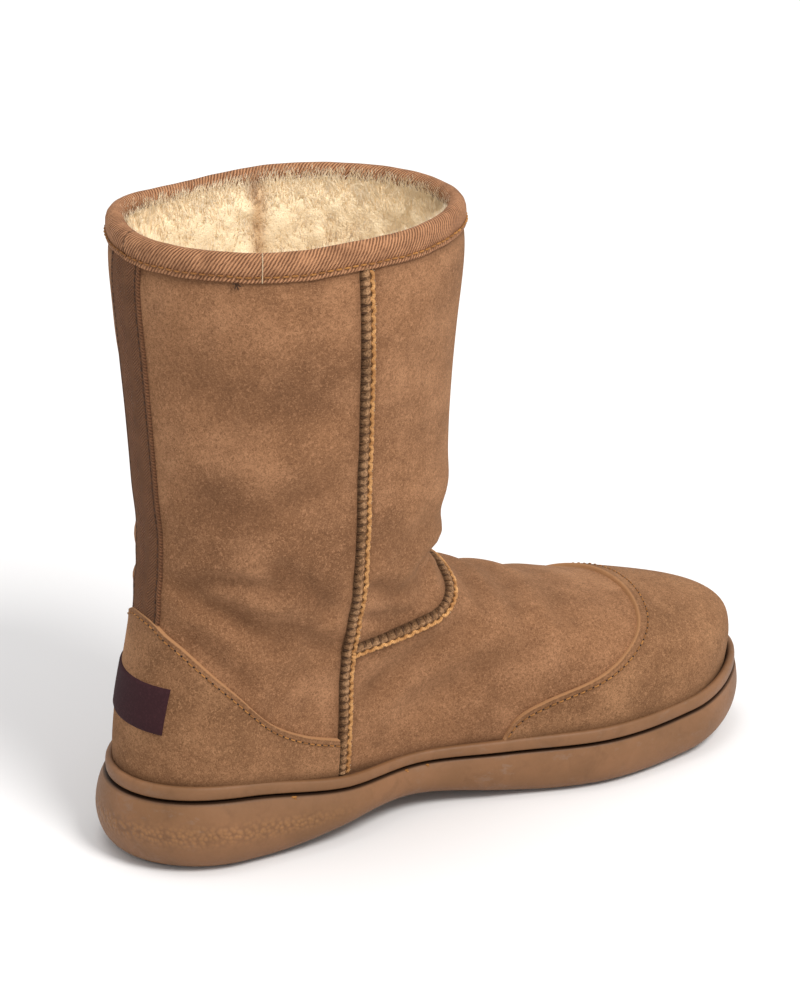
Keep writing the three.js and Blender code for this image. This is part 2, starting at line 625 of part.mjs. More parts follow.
const boot = new THREE.Group();
for (const { name, make, color } of pieces) {
  const { vertProperties, triVerts } = make().getMesh();
  const geometry = new THREE.BufferGeometry();
  geometry.setAttribute("position", new THREE.BufferAttribute(vertProperties, 3));
  geometry.setIndex(new THREE.BufferAttribute(triVerts, 1));
  const material = new THREE.MeshStandardMaterial({ color, roughness: 0.9, metalness: 0 });
  const mesh = new THREE.Mesh(geometry, material);
  mesh.name = name;
  boot.add(mesh);
}

export default boot;
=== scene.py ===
import math
import bpy
import numpy as np
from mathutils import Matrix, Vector


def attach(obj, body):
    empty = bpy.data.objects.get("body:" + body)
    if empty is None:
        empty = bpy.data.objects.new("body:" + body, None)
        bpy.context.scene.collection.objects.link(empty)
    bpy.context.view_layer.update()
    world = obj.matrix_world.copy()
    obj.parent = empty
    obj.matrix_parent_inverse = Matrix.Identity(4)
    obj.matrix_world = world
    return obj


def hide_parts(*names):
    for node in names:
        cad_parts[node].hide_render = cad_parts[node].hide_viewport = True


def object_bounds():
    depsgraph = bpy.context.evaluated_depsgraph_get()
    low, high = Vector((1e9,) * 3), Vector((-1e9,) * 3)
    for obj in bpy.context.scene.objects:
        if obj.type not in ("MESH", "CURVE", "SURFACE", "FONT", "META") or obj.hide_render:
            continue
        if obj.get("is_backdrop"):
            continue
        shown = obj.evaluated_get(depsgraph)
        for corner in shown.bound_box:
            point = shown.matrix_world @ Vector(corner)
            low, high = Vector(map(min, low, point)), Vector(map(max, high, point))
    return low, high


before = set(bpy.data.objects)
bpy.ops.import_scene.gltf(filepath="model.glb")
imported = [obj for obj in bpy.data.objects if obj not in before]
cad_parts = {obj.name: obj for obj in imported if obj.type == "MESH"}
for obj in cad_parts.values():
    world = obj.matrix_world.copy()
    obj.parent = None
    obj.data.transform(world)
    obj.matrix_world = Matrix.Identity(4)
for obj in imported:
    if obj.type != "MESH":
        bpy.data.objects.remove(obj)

cad_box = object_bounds()
rng = np.random.default_rng(7)

# Sizes of the boot in millimetres, as in the part's source
SOLE_LENGTH = 300.0
BALL_WIDTH = 110.0
INSTEP_HEIGHT = 104.0
BOOT_HEIGHT = 260.0
COLLAR_DEPTH = 142.0
COLLAR_WIDTH = 114.0
LEG_SETBACK = 87.5
HEEL_STACK = 37.0
WAIST_STACK = 26.5
BALL_STACK = 27.0
TOE_SPRING = 8.0
ARCH_INNER = 7.0
ARCH_OUTER = 3.0
RIM_HEIGHT = 7.0
WAIST_RIM_HEIGHT = 5.5
RIM_LAP = 3.5
HEEL_FLARE = 4.5
BALL_FLARE = 1.4
HEEL_ROUNDING = 9.0
BALL_ROUNDING = 6.5
LUG_HEIGHT = 2.2
BORDER_RISE = 0.6
BORDER_WIDTH = 3.0
UPPER_WALL = 3.0
OVERLAY_THICKNESS = 1.6
SEAM_WIDTH = 5.0
SIDE_SEAM_SETBACK = 90.5
STRIP_WIDTH = 22.0
STRIP_THICKNESS = 1.2
BINDING_DROP = 11.0
BINDING_INSIDE_DROP = 7.0
BINDING_THICKNESS = 1.6
LABEL_WIDTH = 42.0
LABEL_HEIGHT = 19.0
LABEL_RISE = 67.0
LABEL_THICKNESS = 0.8
GAP = 0.3
HEEL_STEPS, SIDE_STEPS, TOE_STEPS = 5, 8, 6
HALF_STEPS = HEEL_STEPS + SIDE_STEPS + TOE_STEPS

SOLE_PLAN = dict(
    at=[0, 0.17, 0.3, 0.43, 0.55, 0.7, 0.85, 1],
    half=[0.375, 0.385, 0.392, 0.358, 0.42, 0.492, 0.42, 0.31],
    centre=[-0.01, -0.008, -0.002, 0.046, 0.035, 0.005, -0.025, -0.06],
)
SOLE_CAPS = (0.15, 0.15)
SOLE_SIDE = dict(
    at=[0, 0.14, 0.3, 0.43, 0.62, 1],
    heel=[1, 0.95, 0.2, 0, 0, 0],
    waist=[0, 0.05, 0.8, 1, 0.1, 0],
    narrow=[0, 0.2, 0.9, 1, 0.2, 0],
)
ARCH_FROM, ARCH_TOP, ARCH_TO = 0.17, 0.36, 0.64
SPRING_FROM = 0.76
WALL_PROFILE = dict(
    up=[0, 0.08, 0.25, 0.52, 0.82, 1],
    roll=[0.9, 0.5, 0.16, 0, 0, 0],
    flare=[0, 0, 0, 0, 0.3, 0.8],
)

# Sections of the upper, one column per row of the foot and then of the shaft
FOOT = dict(
    backX=[0.031, 0.033, 0.038, 0.045, 0.053, 0.06, 0.067, 0.072, 0.074],
    backZ=[0, 0.415, 0.54, 0.655, 0.76, 0.855, 0.94, 1.03, 1.135],
    frontX=[0.974, 0.979, 0.968, 0.925, 0.848, 0.755, 0.65, 0.543, 0.488],
    frontZ=[0, 0.43, 0.51, 0.58, 0.64, 0.697, 0.783, 0.892, 1.035],
    heel=[0.318, 0.335, 0.341, 0.336, 0.336, 0.341, 0.355, 0.373, 0.41],
    waist=[0.315, 0.33, 0.335, 0.342, 0.352, 0.364, 0.38, 0.405, 0.44],
    ball=[0.44, 0.452, 0.437, 0.4, 0.365, 0.34, 0.338, 0.366, 0.42],
    tip=[0.385, 0.395, 0.375, 0.34, 0.305, 0.285, 0.295, 0.335, 0.405],
    toe=[0.28, 0.29, 0.28, 0.25, 0.23, 0.22, 0.245, 0.3, 0.39],
    bow=[1, 1, 1, 0.9, 0.8, 0.6, 0.35, 0.15, 0.05],
    heelCap=[0.14, 0.14, 0.14, 0.14, 0.145, 0.15, 0.16, 0.17, 0.185],
    toeCap=[0.15, 0.16, 0.17, 0.18, 0.18, 0.17, 0.16, 0.155, 0.175],
)
ROW_STATIONS = dict(heel=0.17, waist=0.43, ball=0.7, tip=0.85, toe=1.0)
SAG_STEP = 0.22
SHAFT = dict(
    up=[0.2, 0.44, 0.68, 0.88, 1],
    depth=[0.905, 0.935, 0.97, 0.995, 0.96],
    width=[0.91, 0.934, 0.968, 0.99, 0.955],
)
SHAFT_CAP = 0.46
COUNTER_EDGE = [
    (0, 1), (0.21, 0.99), (0.28, 0.925), (0.4, 0.803),
    (0.5, 0.712), (0.64, 0.583), (0.81, 0.497), (1, 0.438),
]
TOE_CAP_EDGE = [
    (0.545, 0.2), (0.567, 0.34), (0.61, 0.41), (0.685, 0.475), (0.75, 0.56), (0.8, 0.66), (0.83, 0.78),
]
ANKLE_SEAM = [(0.285, 0.81), (0.4, 0.85), (0.45, 0.875), (0.485, 0.915), (0.51, 0.99)]
LUGS = dict(
    heelBack=[(2.7, 4), (4, 11), (6.7, 0), (9.8, -8.5), (6.3, -22), (3.7, -14)],
    heelBackOuter=[(6, 11), (7.3, 16.5), (9.3, 17.5), (15, 12), (11, -5), (9.7, -3.5)],
    heelOuterEdge=[(7, 24), (10, 27), (16.7, 29.5), (22.3, 29.5), (19.3, 14.5), (14, 17.7)],
    heelOuterFront=[(21.7, 10), (23.7, 28.5), (25.3, 29), (30.7, 12), (32.3, 3), (31.3, -1.5), (29.3, 0)],
    heelMiddle=[(14.7, -2), (17, 9), (20.3, 8.5), (22.3, 2.5), (20, -20), (18.7, -19.5), (15.3, -10)],
    innerHeel=[(8, -24), (12.8, -9), (15.7, -16.5), (20, -24.5), (19.7, -27), (14.7, -27.3), (10.7, -26.5)],
    heelInnerFront=[(21.3, -26.5), (24, 0), (26.7, 0), (30.7, -7.7), (27.7, -25)],
    firstInner=[(42, -1.8), (43.7, 1.8), (49.3, 5), (52.7, -26), (51.7, -26.5), (46.7, -16.5), (43.7, -8)],
    firstOuter=[(43, 7), (44.7, 14.5), (48.7, 28), (53, 38), (51, 25.5), (50, 9)],
    secondOuter=[(52.7, 11.5), (54, 35.5), (56, 36), (59.2, 28), (60.3, 9)],
    secondInner=[(50.8, 6), (55, 7), (59.3, 3.7), (60.7, 1), (54.3, -18), (53.2, -17.7)],
    outerSliver=[(56.5, 39), (60.3, 41), (62.3, 40.5), (65.7, 30), (60.7, 33.5)],
    outerWedge=[(64, 41.5), (68, 42.3), (75.3, 39), (72.7, 27.3), (68.3, 33.5)],
    ballMiddle=[(61, 29), (66.3, 27.7), (71.5, 24.5), (71.7, 8), (62.3, 5.5)],
    ballInner=[(56.2, -19.5), (60.7, -8), (63, 2), (69.5, 3), (69, -15.5), (67.2, -28), (62.7, -26.5)],
    innerSliver=[
        (54.5, -28.5), (57, -26), (62.7, -30), (67.7, -32), (68.5, -39), (64.3, -38.3), (59.3, -33.7),
    ],
    thirdOuter=[(74, 18.5), (76.2, 38), (80, 36.5), (86.3, 29), (84, 17.7)],
    thirdInner=[(69.3, -32.7), (72, 6), (76, -3.7), (80.3, -17.3), (74.7, -26.3), (70.3, -33)],
    thirdMiddle=[(73.5, 10), (78, 13), (84.3, 12.3), (83.2, 2.7), (80.5, -9)],
    innerEdge=[(70.8, -39.5), (73.3, -32.7), (80.2, -22.7), (80.8, -37.3)],
    toeInner=[(81.7, -36.8), (82, -22.7), (83.5, -6.5), (86.7, -14.5), (90.7, -21), (91.5, -30), (86.7, -35)],
    toeMid=[(84.5, 0), (86, 3.7), (90.3, 9.5), (95.3, 13), (96.5, 1), (93.7, -6.5), (91.7, -15), (87.3, -9)],
    toeOuter=[(86.7, 9), (87, 27.3), (90.3, 23.7), (93.8, 15.5), (90, 12.3)],
    toeTip=[(92.5, -27.3), (92.8, -18), (94.7, -9), (97, -4), (97, -12), (95.2, -22)],
)
UP = np.array([0, 0, 1.0])
DOWN = -UP


def mix(a, b, share):
    return a + (b - a) * share


def smoothstep(x, low, high):
    k = np.clip((x - low) / (high - low), 0, 1)
    return k * k * (3 - 2 * k)


def bell(x, width=1.0):
    return np.exp(-((x / width) ** 2))


def length_along(path):
    """Length of a path up to each of its points."""
    return np.concatenate([[0], np.cumsum(np.linalg.norm(np.diff(path, axis=0), axis=1))])


def evenly(path, values, shares):
    """Values that lie at shares of the length of a path."""
    run = length_along(path)
    return np.interp(np.asarray(shares) * run[-1], run, values)


def ring_shares(count):
    return np.linspace(0, 1, count, endpoint=False)


def through(xs, ys, at):
    """Smooth curve through points, held at its ends. ys may hold one list of values per asked point."""
    xs = np.asarray(xs, float)
    ys = np.asarray(ys, float)
    at = np.asarray(at, float)
    if ys.ndim == 1:
        ys = np.broadcast_to(ys.reshape((-1,) + (1,) * at.ndim), (len(xs),) + at.shape)
    wide = xs.reshape((-1,) + (1,) * at.ndim)
    slopes = np.empty_like(ys)
    slopes[0] = (ys[1] - ys[0]) / (wide[1] - wide[0])
    slopes[-1] = (ys[-1] - ys[-2]) / (wide[-1] - wide[-2])
    slopes[1:-1] = (ys[2:] - ys[:-2]) / (wide[2:] - wide[:-2])
    i = np.clip(np.searchsorted(xs, at, side="right") - 1, 0, len(xs) - 2)
    span = xs[i + 1] - xs[i]
    k = np.clip((at - xs[i]) / span, 0, 1)
    pick = lambda table, n: np.take_along_axis(table, n[None], 0)[0]
    start, end = pick(ys, i), pick(ys, i + 1)
    out, into = pick(slopes, i) * span, pick(slopes, i + 1) * span
    rise = end - start
    return start + k * (out + k * (3 * rise - 2 * out - into + k * (out + into - 2 * rise)))


def column(table, name, share):
    return through(table["at"], table[name], share)


# Heights and insets along the sole
def toe_spring(share):
    return TOE_SPRING * (np.maximum(share - SPRING_FROM, 0) / (1 - SPRING_FROM)) ** 2


def rim_top(share):
    heel, waist = column(SOLE_SIDE, "heel", share), column(SOLE_SIDE, "waist", share)
    return HEEL_STACK * heel + WAIST_STACK * waist + BALL_STACK * (1 - heel - waist) + toe_spring(share)


def rim_base(share):
    return rim_top(share) - mix(RIM_HEIGHT, WAIST_RIM_HEIGHT, column(SOLE_SIDE, "narrow", share))


def footbed(share):
    return rim_top(share) - RIM_LAP


def flare(share):
    return mix(HEEL_FLARE, BALL_FLARE, smoothstep(share, 0, ROW_STATIONS["ball"]))


def rounding(share):
    return mix(HEEL_ROUNDING, BALL_ROUNDING, smoothstep(share, 0, ROW_STATIONS["ball"]))


def tread(share, side):
    arch = smoothstep(share, ARCH_FROM, ARCH_TOP) * (1 - smoothstep(share, ARCH_TOP, ARCH_TO))
    return arch * mix(ARCH_INNER, ARCH_OUTER, (1 + side) / 2) + toe_spring(share)


def sole_x(share):
    return (share - 0.5) * SOLE_LENGTH


def sole_share(x):
    return np.clip(x / SOLE_LENGTH + 0.5, 0, 1)


SEAM_X = sole_x(0) + SIDE_SEAM_SETBACK
UPPER_TOP = BOOT_HEIGHT - BINDING_THICKNESS - GAP
BINDING_BOTTOM = BOOT_HEIGHT - BINDING_DROP


def station(q, heel_cap, toe_cap):
    """Share of a section's length, and how full its width is, where q runs from heel to toe."""
    heel_end = HEEL_STEPS / HALF_STEPS
    toe_start = 1 - TOE_STEPS / HALF_STEPS
    back = np.clip(q / heel_end, 0, 1) * math.pi / 2
    front = np.clip((1 - q) / (1 - toe_start), 0, 1) * math.pi / 2
    middle = mix(heel_cap, 1 - toe_cap, (q - heel_end) / (toe_start - heel_end))
    share = np.where(q < heel_end, heel_cap * (1 - np.cos(back)), middle)
    share = np.where(q > toe_start, 1 - toe_cap * (1 - np.cos(front)), share)
    full = np.where(q < heel_end, np.sin(back), np.where(q > toe_start, np.sin(front), 1.0))
    return share, full


def side_of(turn):
    turn = np.mod(turn, 2)
    return np.where(turn <= 1, 1.0, -1.0), np.where(turn <= 1, turn, 2 - turn)


def all_rows():
    """The rows of both tables in millimetres."""
    rows = {}
    foot = {name: np.array(values, float) for name, values in FOOT.items()}
    for name in ("backX", "frontX"):
        rows[name] = sole_x(foot[name])
    for name, at in (("backZ", "backX"), ("frontZ", "frontX")):
        rows[name] = foot[name] * INSTEP_HEIGHT
        rows[name][0] = footbed(foot[at][:1])[0] + GAP
    for name in ROW_STATIONS:
        rows[name] = foot[name] * BALL_WIDTH
    rows["bow"] = foot["bow"]
    rows["sag"] = np.maximum(1 - np.arange(len(foot["bow"])) * SAG_STEP, 0)
    rows["heelCap"] = foot["heelCap"] * SOLE_LENGTH
    rows["toeCap"] = foot["toeCap"] * SOLE_LENGTH
    depth = np.array(SHAFT["depth"]) * COLLAR_DEPTH
    half = np.array(SHAFT["width"]) * COLLAR_WIDTH / 2
    z = mix(INSTEP_HEIGHT, UPPER_TOP, np.array(SHAFT["up"]))
    middle = sole_x(0) + LEG_SETBACK
    nothing = np.zeros_like(z)
    shaft = dict(backX=middle - depth / 2, frontX=middle + depth / 2, backZ=z, frontZ=z)
    shaft.update(bow=nothing, sag=nothing, heelCap=depth * SHAFT_CAP, toeCap=depth * SHAFT_CAP)
    shaft.update({name: half for name in ROW_STATIONS})
    return {name: np.concatenate([rows[name], shaft[name]]) for name in rows}


ROWS = all_rows()
TOP = len(ROWS["backX"]) - 1.0


def exact_point(turn, v):
    """A point of the plain form. turn runs 0 to 2 round the boot from the heel, v from 0 up to TOP."""
    turn, v = np.broadcast_arrays(np.asarray(turn, float), np.asarray(v, float))
    steps = np.arange(TOP + 1)
    row = {name: through(steps, values, v) for name, values in ROWS.items()}
    side, q = side_of(turn)
    length = row["frontX"] - row["backX"]
    share, full = station(q, row["heelCap"] / length, row["toeCap"] / length)
    stations = np.array(list(ROW_STATIONS.values()))
    values = np.stack([row[name] for name in ROW_STATIONS])
    half = through(stations, values, np.maximum(share, stations[0]))
    x = mix(row["backX"], row["frontX"], share)
    along = sole_share(x)
    chord = mix(footbed(sole_share(row["backX"])), footbed(sole_share(row["frontX"])), share)
    y = row["bow"] * BALL_WIDTH * column(SOLE_PLAN, "centre", along) + side * half * full
    z = mix(row["backZ"], row["frontZ"], share) + row["sag"] * (footbed(along) - chord)
    return np.stack([x, y, z], -1)


TABLE_TURNS, TABLE_ROWS = 1200, 520
TABLE = exact_point(
    np.linspace(0, 2, TABLE_TURNS, endpoint=False)[:, None], np.linspace(0, TOP, TABLE_ROWS)[None]
)


def section_point(turn, v):
    """The same point, looked up in a fine table."""
    turn, v = np.broadcast_arrays(np.asarray(turn, float), np.asarray(v, float))
    a = np.mod(turn, 2) * TABLE_TURNS / 2
    b = np.clip(v, 0, TOP) * (TABLE_ROWS - 1) / TOP
    i, j = a.astype(int) % TABLE_TURNS, np.minimum(b.astype(int), TABLE_ROWS - 2)
    p, q = (a - np.floor(a))[..., None], (b - j)[..., None]
    n = (i + 1) % TABLE_TURNS
    return mix(mix(TABLE[i, j], TABLE[n, j], p), mix(TABLE[i, j + 1], TABLE[n, j + 1], p), q)


def unit(a):
    return a / np.maximum(np.linalg.norm(a, axis=-1, keepdims=True), 1e-9)


def plain_normal(turn, v):
    nudge = 4e-3
    v = np.asarray(v, float)
    rise = section_point(turn, np.minimum(v + nudge, TOP)) - section_point(turn, np.maximum(v - nudge, 0))
    run = section_point(turn + nudge, v) - section_point(turn - nudge, v)
    return unit(np.cross(rise, run))


# Soft troughs of the hide: a line seen from one face of the boot (along X from the side,
# along Y from the front or back, then height), with its width and depth
CREASES = [
    ("inner", [(-123, 119), (-115, 123.5), (-106, 124), (-94, 120)], 3.6, 2.4),
    ("inner", [(-119, 115), (-110, 111), (-99, 102), (-90, 94)], 4.4, 2.2),
    ("inner", [(-93, 128), (-83, 121), (-72, 108)], 4.8, 2.0),
    ("inner", [(-119, 96), (-112, 87), (-103, 78)], 4.4, 1.6),
    ("inner", [(-88, 103), (-78, 95), (-68, 87)], 5.2, 1.5),
    ("inner", [(-116, 157), (-105, 153), (-89, 158), (-76, 165)], 8.5, 1.5),
    ("inner", [(-120, 205), (-104, 196), (-84, 200)], 13.0, 1.4),
    ("inner", [(-50, 112), (-38, 105), (-22, 106), (-10, 114)], 4.4, 2.0),
    ("inner", [(-50, 98), (-36, 95), (-20, 99)], 4.0, 1.5),
    ("inner", [(-50, 134), (-38, 129), (-24, 134)], 7.0, 1.4),
    ("inner", [(-46, 62), (-26, 72), (-4, 82)], 6.5, 1.8),
    ("inner", [(-24, 50), (4, 60), (26, 68)], 7.0, 1.4),
    ("outer", [(-122, 118), (-108, 121), (-92, 114)], 4.0, 2.4),
    ("outer", [(-116, 103), (-100, 98), (-82, 101)], 4.8, 1.8),
    ("outer", [(-90, 132), (-78, 126), (-68, 116)], 5.2, 1.6),
    ("outer", [(-50, 113), (-34, 106), (-14, 113)], 4.6, 2.0),
    ("outer", [(-118, 190), (-96, 180), (-74, 185)], 12.0, 1.5),
    ("outer", [(-44, 62), (-22, 72), (-2, 82)], 6.5, 1.8),
    ("outer", [(-20, 50), (6, 58), (28, 66)], 7.0, 1.3),
    ("back", [(-30, 118), (0, 121), (30, 117)], 6.0, 0.5),
    ("back", [(-26, 138), (0, 134), (28, 140)], 9.0, 0.4),
    ("front", [(-34, 114), (0, 109), (34, 115)], 5.0, 1.8),
    ("front", [(-30, 132), (0, 126), (32, 130)], 7.0, 1.3),
    ("top", [(8, -32), (12, 0), (6, 34)], 5.5, 1.6),
    ("top", [(26, -34), (32, 0), (26, 34)], 6.5, 1.2),
    ("top", [(48, -30), (54, 0), (50, 32)], 7.0, 0.9),
]
# Broad pushes in and out: bearing round the leg, reach round it, height, reach up and down, and distance
PUSHES = [
    (0.17, 0.1, 262, 46, 2.6),
    (0.36, 0.1, 258, 44, -1.5),
    (1.14, 0.09, 256, 40, 1.6),
    (1.52, 0.16, 205, 36, 1.3),
    (1.72, 0.12, 170, 22, 1.4),
    (1.8, 0.1, 215, 28, -1.5),
    (0.62, 0.16, 190, 40, 1.2),
    (0.98, 0.12, 180, 30, -1.3),
    (1.25, 0.1, 200, 26, -1.0),
    (0.28, 0.12, 150, 36, -1.0),
]
# Lifts and dips of the collar: bearing, reach and height
COLLAR_WAVES = [(0.16, 0.12, 1.1), (0.4, 0.14, -0.9), (1.7, 0.16, -0.8), (1.1, 0.12, 0.8)]
FACE_AXES = dict(inner=(0, 2), outer=(0, 2), front=(1, 2), back=(1, 2), top=(0, 1))


def line_distance(points, line):
    """Distance from each of the flat points to a broken line."""
    line = np.asarray(line, float)
    best = np.full(points.shape[:-1], 1e9)
    for a, b in zip(line[:-1], line[1:]):
        ab = b - a
        k = np.clip(((points - a) @ ab) / (ab @ ab), 0, 1)
        best = np.minimum(best, np.linalg.norm(points - (a + k[..., None] * ab), axis=-1))
    return best


def bearing(points):
    """Direction from the middle of the leg: 0 at the heel, 0.5 at the outer side, 1 in front, 1.5 inside."""
    back = sole_x(0) + LEG_SETBACK - points[..., 0]
    return np.mod(np.arctan2(points[..., 1], back) / math.pi, 2)


def turned(turn, place):
    """How far round the leg a bearing is from a place, from -1 to 1."""
    return np.mod(turn - place + 1, 2) - 1


def soften(points, normals):
    """How far the hide stands in or out of its plain form, in millimetres, and how deep in a fold it is."""
    move = np.zeros(points.shape[:-1])
    fold = np.zeros(points.shape[:-1])
    turn = bearing(points)
    facing = dict(
        inner=-normals[..., 1],
        outer=normals[..., 1],
        front=normals[..., 0] * smoothstep(points[..., 2], 96, 108),
        back=-normals[..., 0],
        top=normals[..., 2] * smoothstep(points[..., 0], -2, 12),
    )
    for face, line, width, depth in CREASES:
        away = line_distance(points[..., FACE_AXES[face]], line) / width
        mask = smoothstep(facing[face], 0.15, 0.6)
        trough = bell(away)
        move += mask * depth * (0.5 * bell(away - 1.9) - trough)
        fold = np.maximum(fold, mask * trough * min(depth / 2, 1))
    for place, reach, height, tall, push in PUSHES:
        move += push * bell(turned(turn, place), reach) * bell(points[..., 2] - height, tall)
    on_foot = smoothstep(points[..., 2], 34, 48)
    return move * on_foot, fold * on_foot


def surface(turn, v, proud=0.0):
    """A point of the upper with its folds, moved out by proud, and the normal there."""
    turn, v = np.broadcast_arrays(np.asarray(turn, float), np.asarray(v, float))
    normals = plain_normal(turn, v)
    points = section_point(turn, v)
    points = points + normals * (soften(points, normals)[0] + proud)[..., None]
    around = bearing(points)
    wave = sum(lift * bell(turned(around, place), reach) for place, reach, lift in COLLAR_WAVES)
    points[..., 2] += smoothstep(points[..., 2], 205, 258) * wave
    return points, normals


def bisect(low, high, above, rounds=26):
    """The place between low and high past which above(place) turns true."""
    low, high = np.array(low, float), np.array(high, float)
    for _ in range(rounds):
        middle = (low + high) / 2
        hit = above(middle)
        high = np.where(hit, middle, high)
        low = np.where(hit, low, middle)
    return (low + high) / 2


def turn_at(x, side, v):
    """The turn at which the section at height v reaches x, on one side."""
    v = np.asarray(v, float)
    q = bisect(np.zeros_like(v), np.ones_like(v), lambda k: section_point(k, v)[..., 0] > x)
    return q if side > 0 else 2 - q


def turn_beside(y, v):
    """The turn near the heel's middle line at which the section at v reaches y."""
    v = np.asarray(v, float)
    sign = 1 if y >= 0 else -1

    def beyond(q):
        return section_point(sign * q, v)[..., 1] * sign > abs(y)

    return np.mod(sign * bisect(np.zeros_like(v), np.full_like(v, 0.4), beyond), 2)


def height_v(turn, z):
    """The v at which the plain form reaches a height."""
    turn, z = np.broadcast_arrays(np.asarray(turn, float), np.asarray(z, float))
    return bisect(np.zeros_like(turn), np.full_like(turn, TOP), lambda k: section_point(turn, k)[..., 2] > z)


def back_place(offset, z):
    """Turn and v near the heel's middle line, at an offset across and at heights."""
    turn = np.zeros(len(z))
    v = height_v(turn, z)
    for _ in range(2):
        turn = turn_beside(offset, v)
        v = height_v(turn, z)
    return turn, v


def smooth_line(rows, run, count=24):
    """A smooth side-view line through the rows of a table, as points in millimetres."""
    points = np.array([(sole_x(0) + along * run, up * INSTEP_HEIGHT) for along, up in rows])
    k = np.linspace(0, len(points) - 1, count * (len(points) - 1) + 1)
    steps = np.arange(len(points))
    return np.stack([through(steps, points[:, 0], k), through(steps, points[:, 1], k)], -1)


def line_height(line, x):
    """Height of a side-view line at x, run on straight past its ends."""
    order = np.argsort(line[:, 0])
    xs, zs = line[order, 0], line[order, 1]
    z = np.interp(x, xs, zs)
    first = (zs[1] - zs[0]) / max(xs[1] - xs[0], 1e-6)
    last = (zs[-1] - zs[-2]) / max(xs[-1] - xs[-2], 1e-6)
    z = np.where(x < xs[0], zs[0] + (x - xs[0]) * first, z)
    return np.where(x > xs[-1], zs[-1] + (x - xs[-1]) * last, z)


# Meshes
def grid_faces(rows, cols, wrap=False):
    i, j = np.meshgrid(np.arange(rows - 1), np.arange(cols if wrap else cols - 1), indexing="ij")
    k = (j + 1) % cols
    return np.stack([i * cols + j, i * cols + k, (i + 1) * cols + k, (i + 1) * cols + j], -1).reshape(-1, 4)


def piece(name, parts, material, replaced=(), smooth=True):
    """One object from parts: dicts of verts in millimetres, faces, and uv, tone and mark for each vertex."""
    verts, loops, starts, uvs = [], [], [], []
    floats = {key: [] for key in ("tone", "mark")}
    base, total = 0, 0
    for part in parts:
        points = np.asarray(part["verts"], float).reshape(-1, 3)
        verts.append(points / 1000)
        for faces in part["faces"] if isinstance(part["faces"], list) else [part["faces"]]:
            faces = np.asarray(faces)
            loops.append((faces + base).reshape(-1))
            starts.append(total + np.arange(len(faces)) * faces.shape[1])
            total += faces.size
        uvs.append(np.asarray(part.get("uv", np.zeros((len(points), 2))), float).reshape(-1, 2))
        for key, values in floats.items():
            value = np.asarray(part.get(key, 0.0), float).reshape(-1)
            values.append(np.broadcast_to(value, len(points)))
        base += len(points)
    verts, loops, starts = np.concatenate(verts), np.concatenate(loops), np.concatenate(starts)
    uvs = np.concatenate(uvs)
    mesh = bpy.data.meshes.new(name)
    mesh.vertices.add(len(verts))
    mesh.vertices.foreach_set("co", verts.ravel())
    mesh.loops.add(len(loops))
    mesh.loops.foreach_set("vertex_index", loops.astype(np.int32))
    mesh.polygons.add(len(starts))
    mesh.polygons.foreach_set("loop_start", starts.astype(np.int32))
    mesh.update(calc_edges=True)
    mesh.validate()
    if len(mesh.loops) == len(loops):
        layer = mesh.uv_layers.new(name="UVMap")
        layer.data.foreach_set("uv", uvs[loops].ravel())
    for key, values in floats.items():
        mesh.attributes.new(key, "FLOAT", "POINT").data.foreach_set("value", np.concatenate(values))
    mesh.polygons.foreach_set("use_smooth", np.full(len(mesh.polygons), smooth))
    obj = bpy.data.objects.new(name, mesh)
    bpy.context.scene.collection.objects.link(obj)
    mesh.materials.append(material)
    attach(obj, "root")
    if replaced:
        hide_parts(*replaced)


def outward(verts, faces, normals):
    """The faces, turned over if they look the wrong way."""
    n = np.broadcast_to(normals, verts.shape).reshape(-1, 3)
    v = verts.reshape(-1, 3)
    a, b, c = v[faces[:, 0]], v[faces[:, 1]], v[faces[:, 2]]
    agree = np.sum(np.cross(b - a, c - a) * n[faces[:, 0]])
    return faces if agree > 0 else faces[:, ::-1]


def sheet(points, normals, wrap=False, **more):
    """A part made of a grid of points, whose faces look along the normals."""
    return dict(verts=points, faces=outward(points, grid_faces(*points.shape[:2], wrap), normals), **more)


def uv_grid(u, v):
    return np.stack(np.broadcast_arrays(u, v), -1)


def sweep(centres, normals, across, profile, **more):
    """A strip with a profile of (across, out) points, carried along a path."""
    profile = np.asarray(profile, float)
    sideways, outwards = across[:, None] * profile[None, :, :1], normals[:, None] * profile[None, :, 1:]
    verts = centres[:, None] + sideways + outwards
    uv = uv_grid(length_along(centres)[:, None], length_along(profile))
    return sheet(verts, normals[:, None], uv=uv, **more)


def frames(points, normals):
    """Directions along and across a path on the surface."""
    along = unit(np.gradient(points, axis=0))
    across = unit(np.cross(along, normals))
    return along, across


def pick(at, run, values):
    """Vectors at distances along a path, from those at its own points."""
    return np.stack([np.interp(at, run, values[:, n]) for n in range(3)], -1)


def resample(points, normals, step, start=0.0):
    """Evenly spaced places along a path."""
    run = length_along(points)
    at = np.arange(start, run[-1], step)
    return pick(at, run, points), unit(pick(at, run, normals))


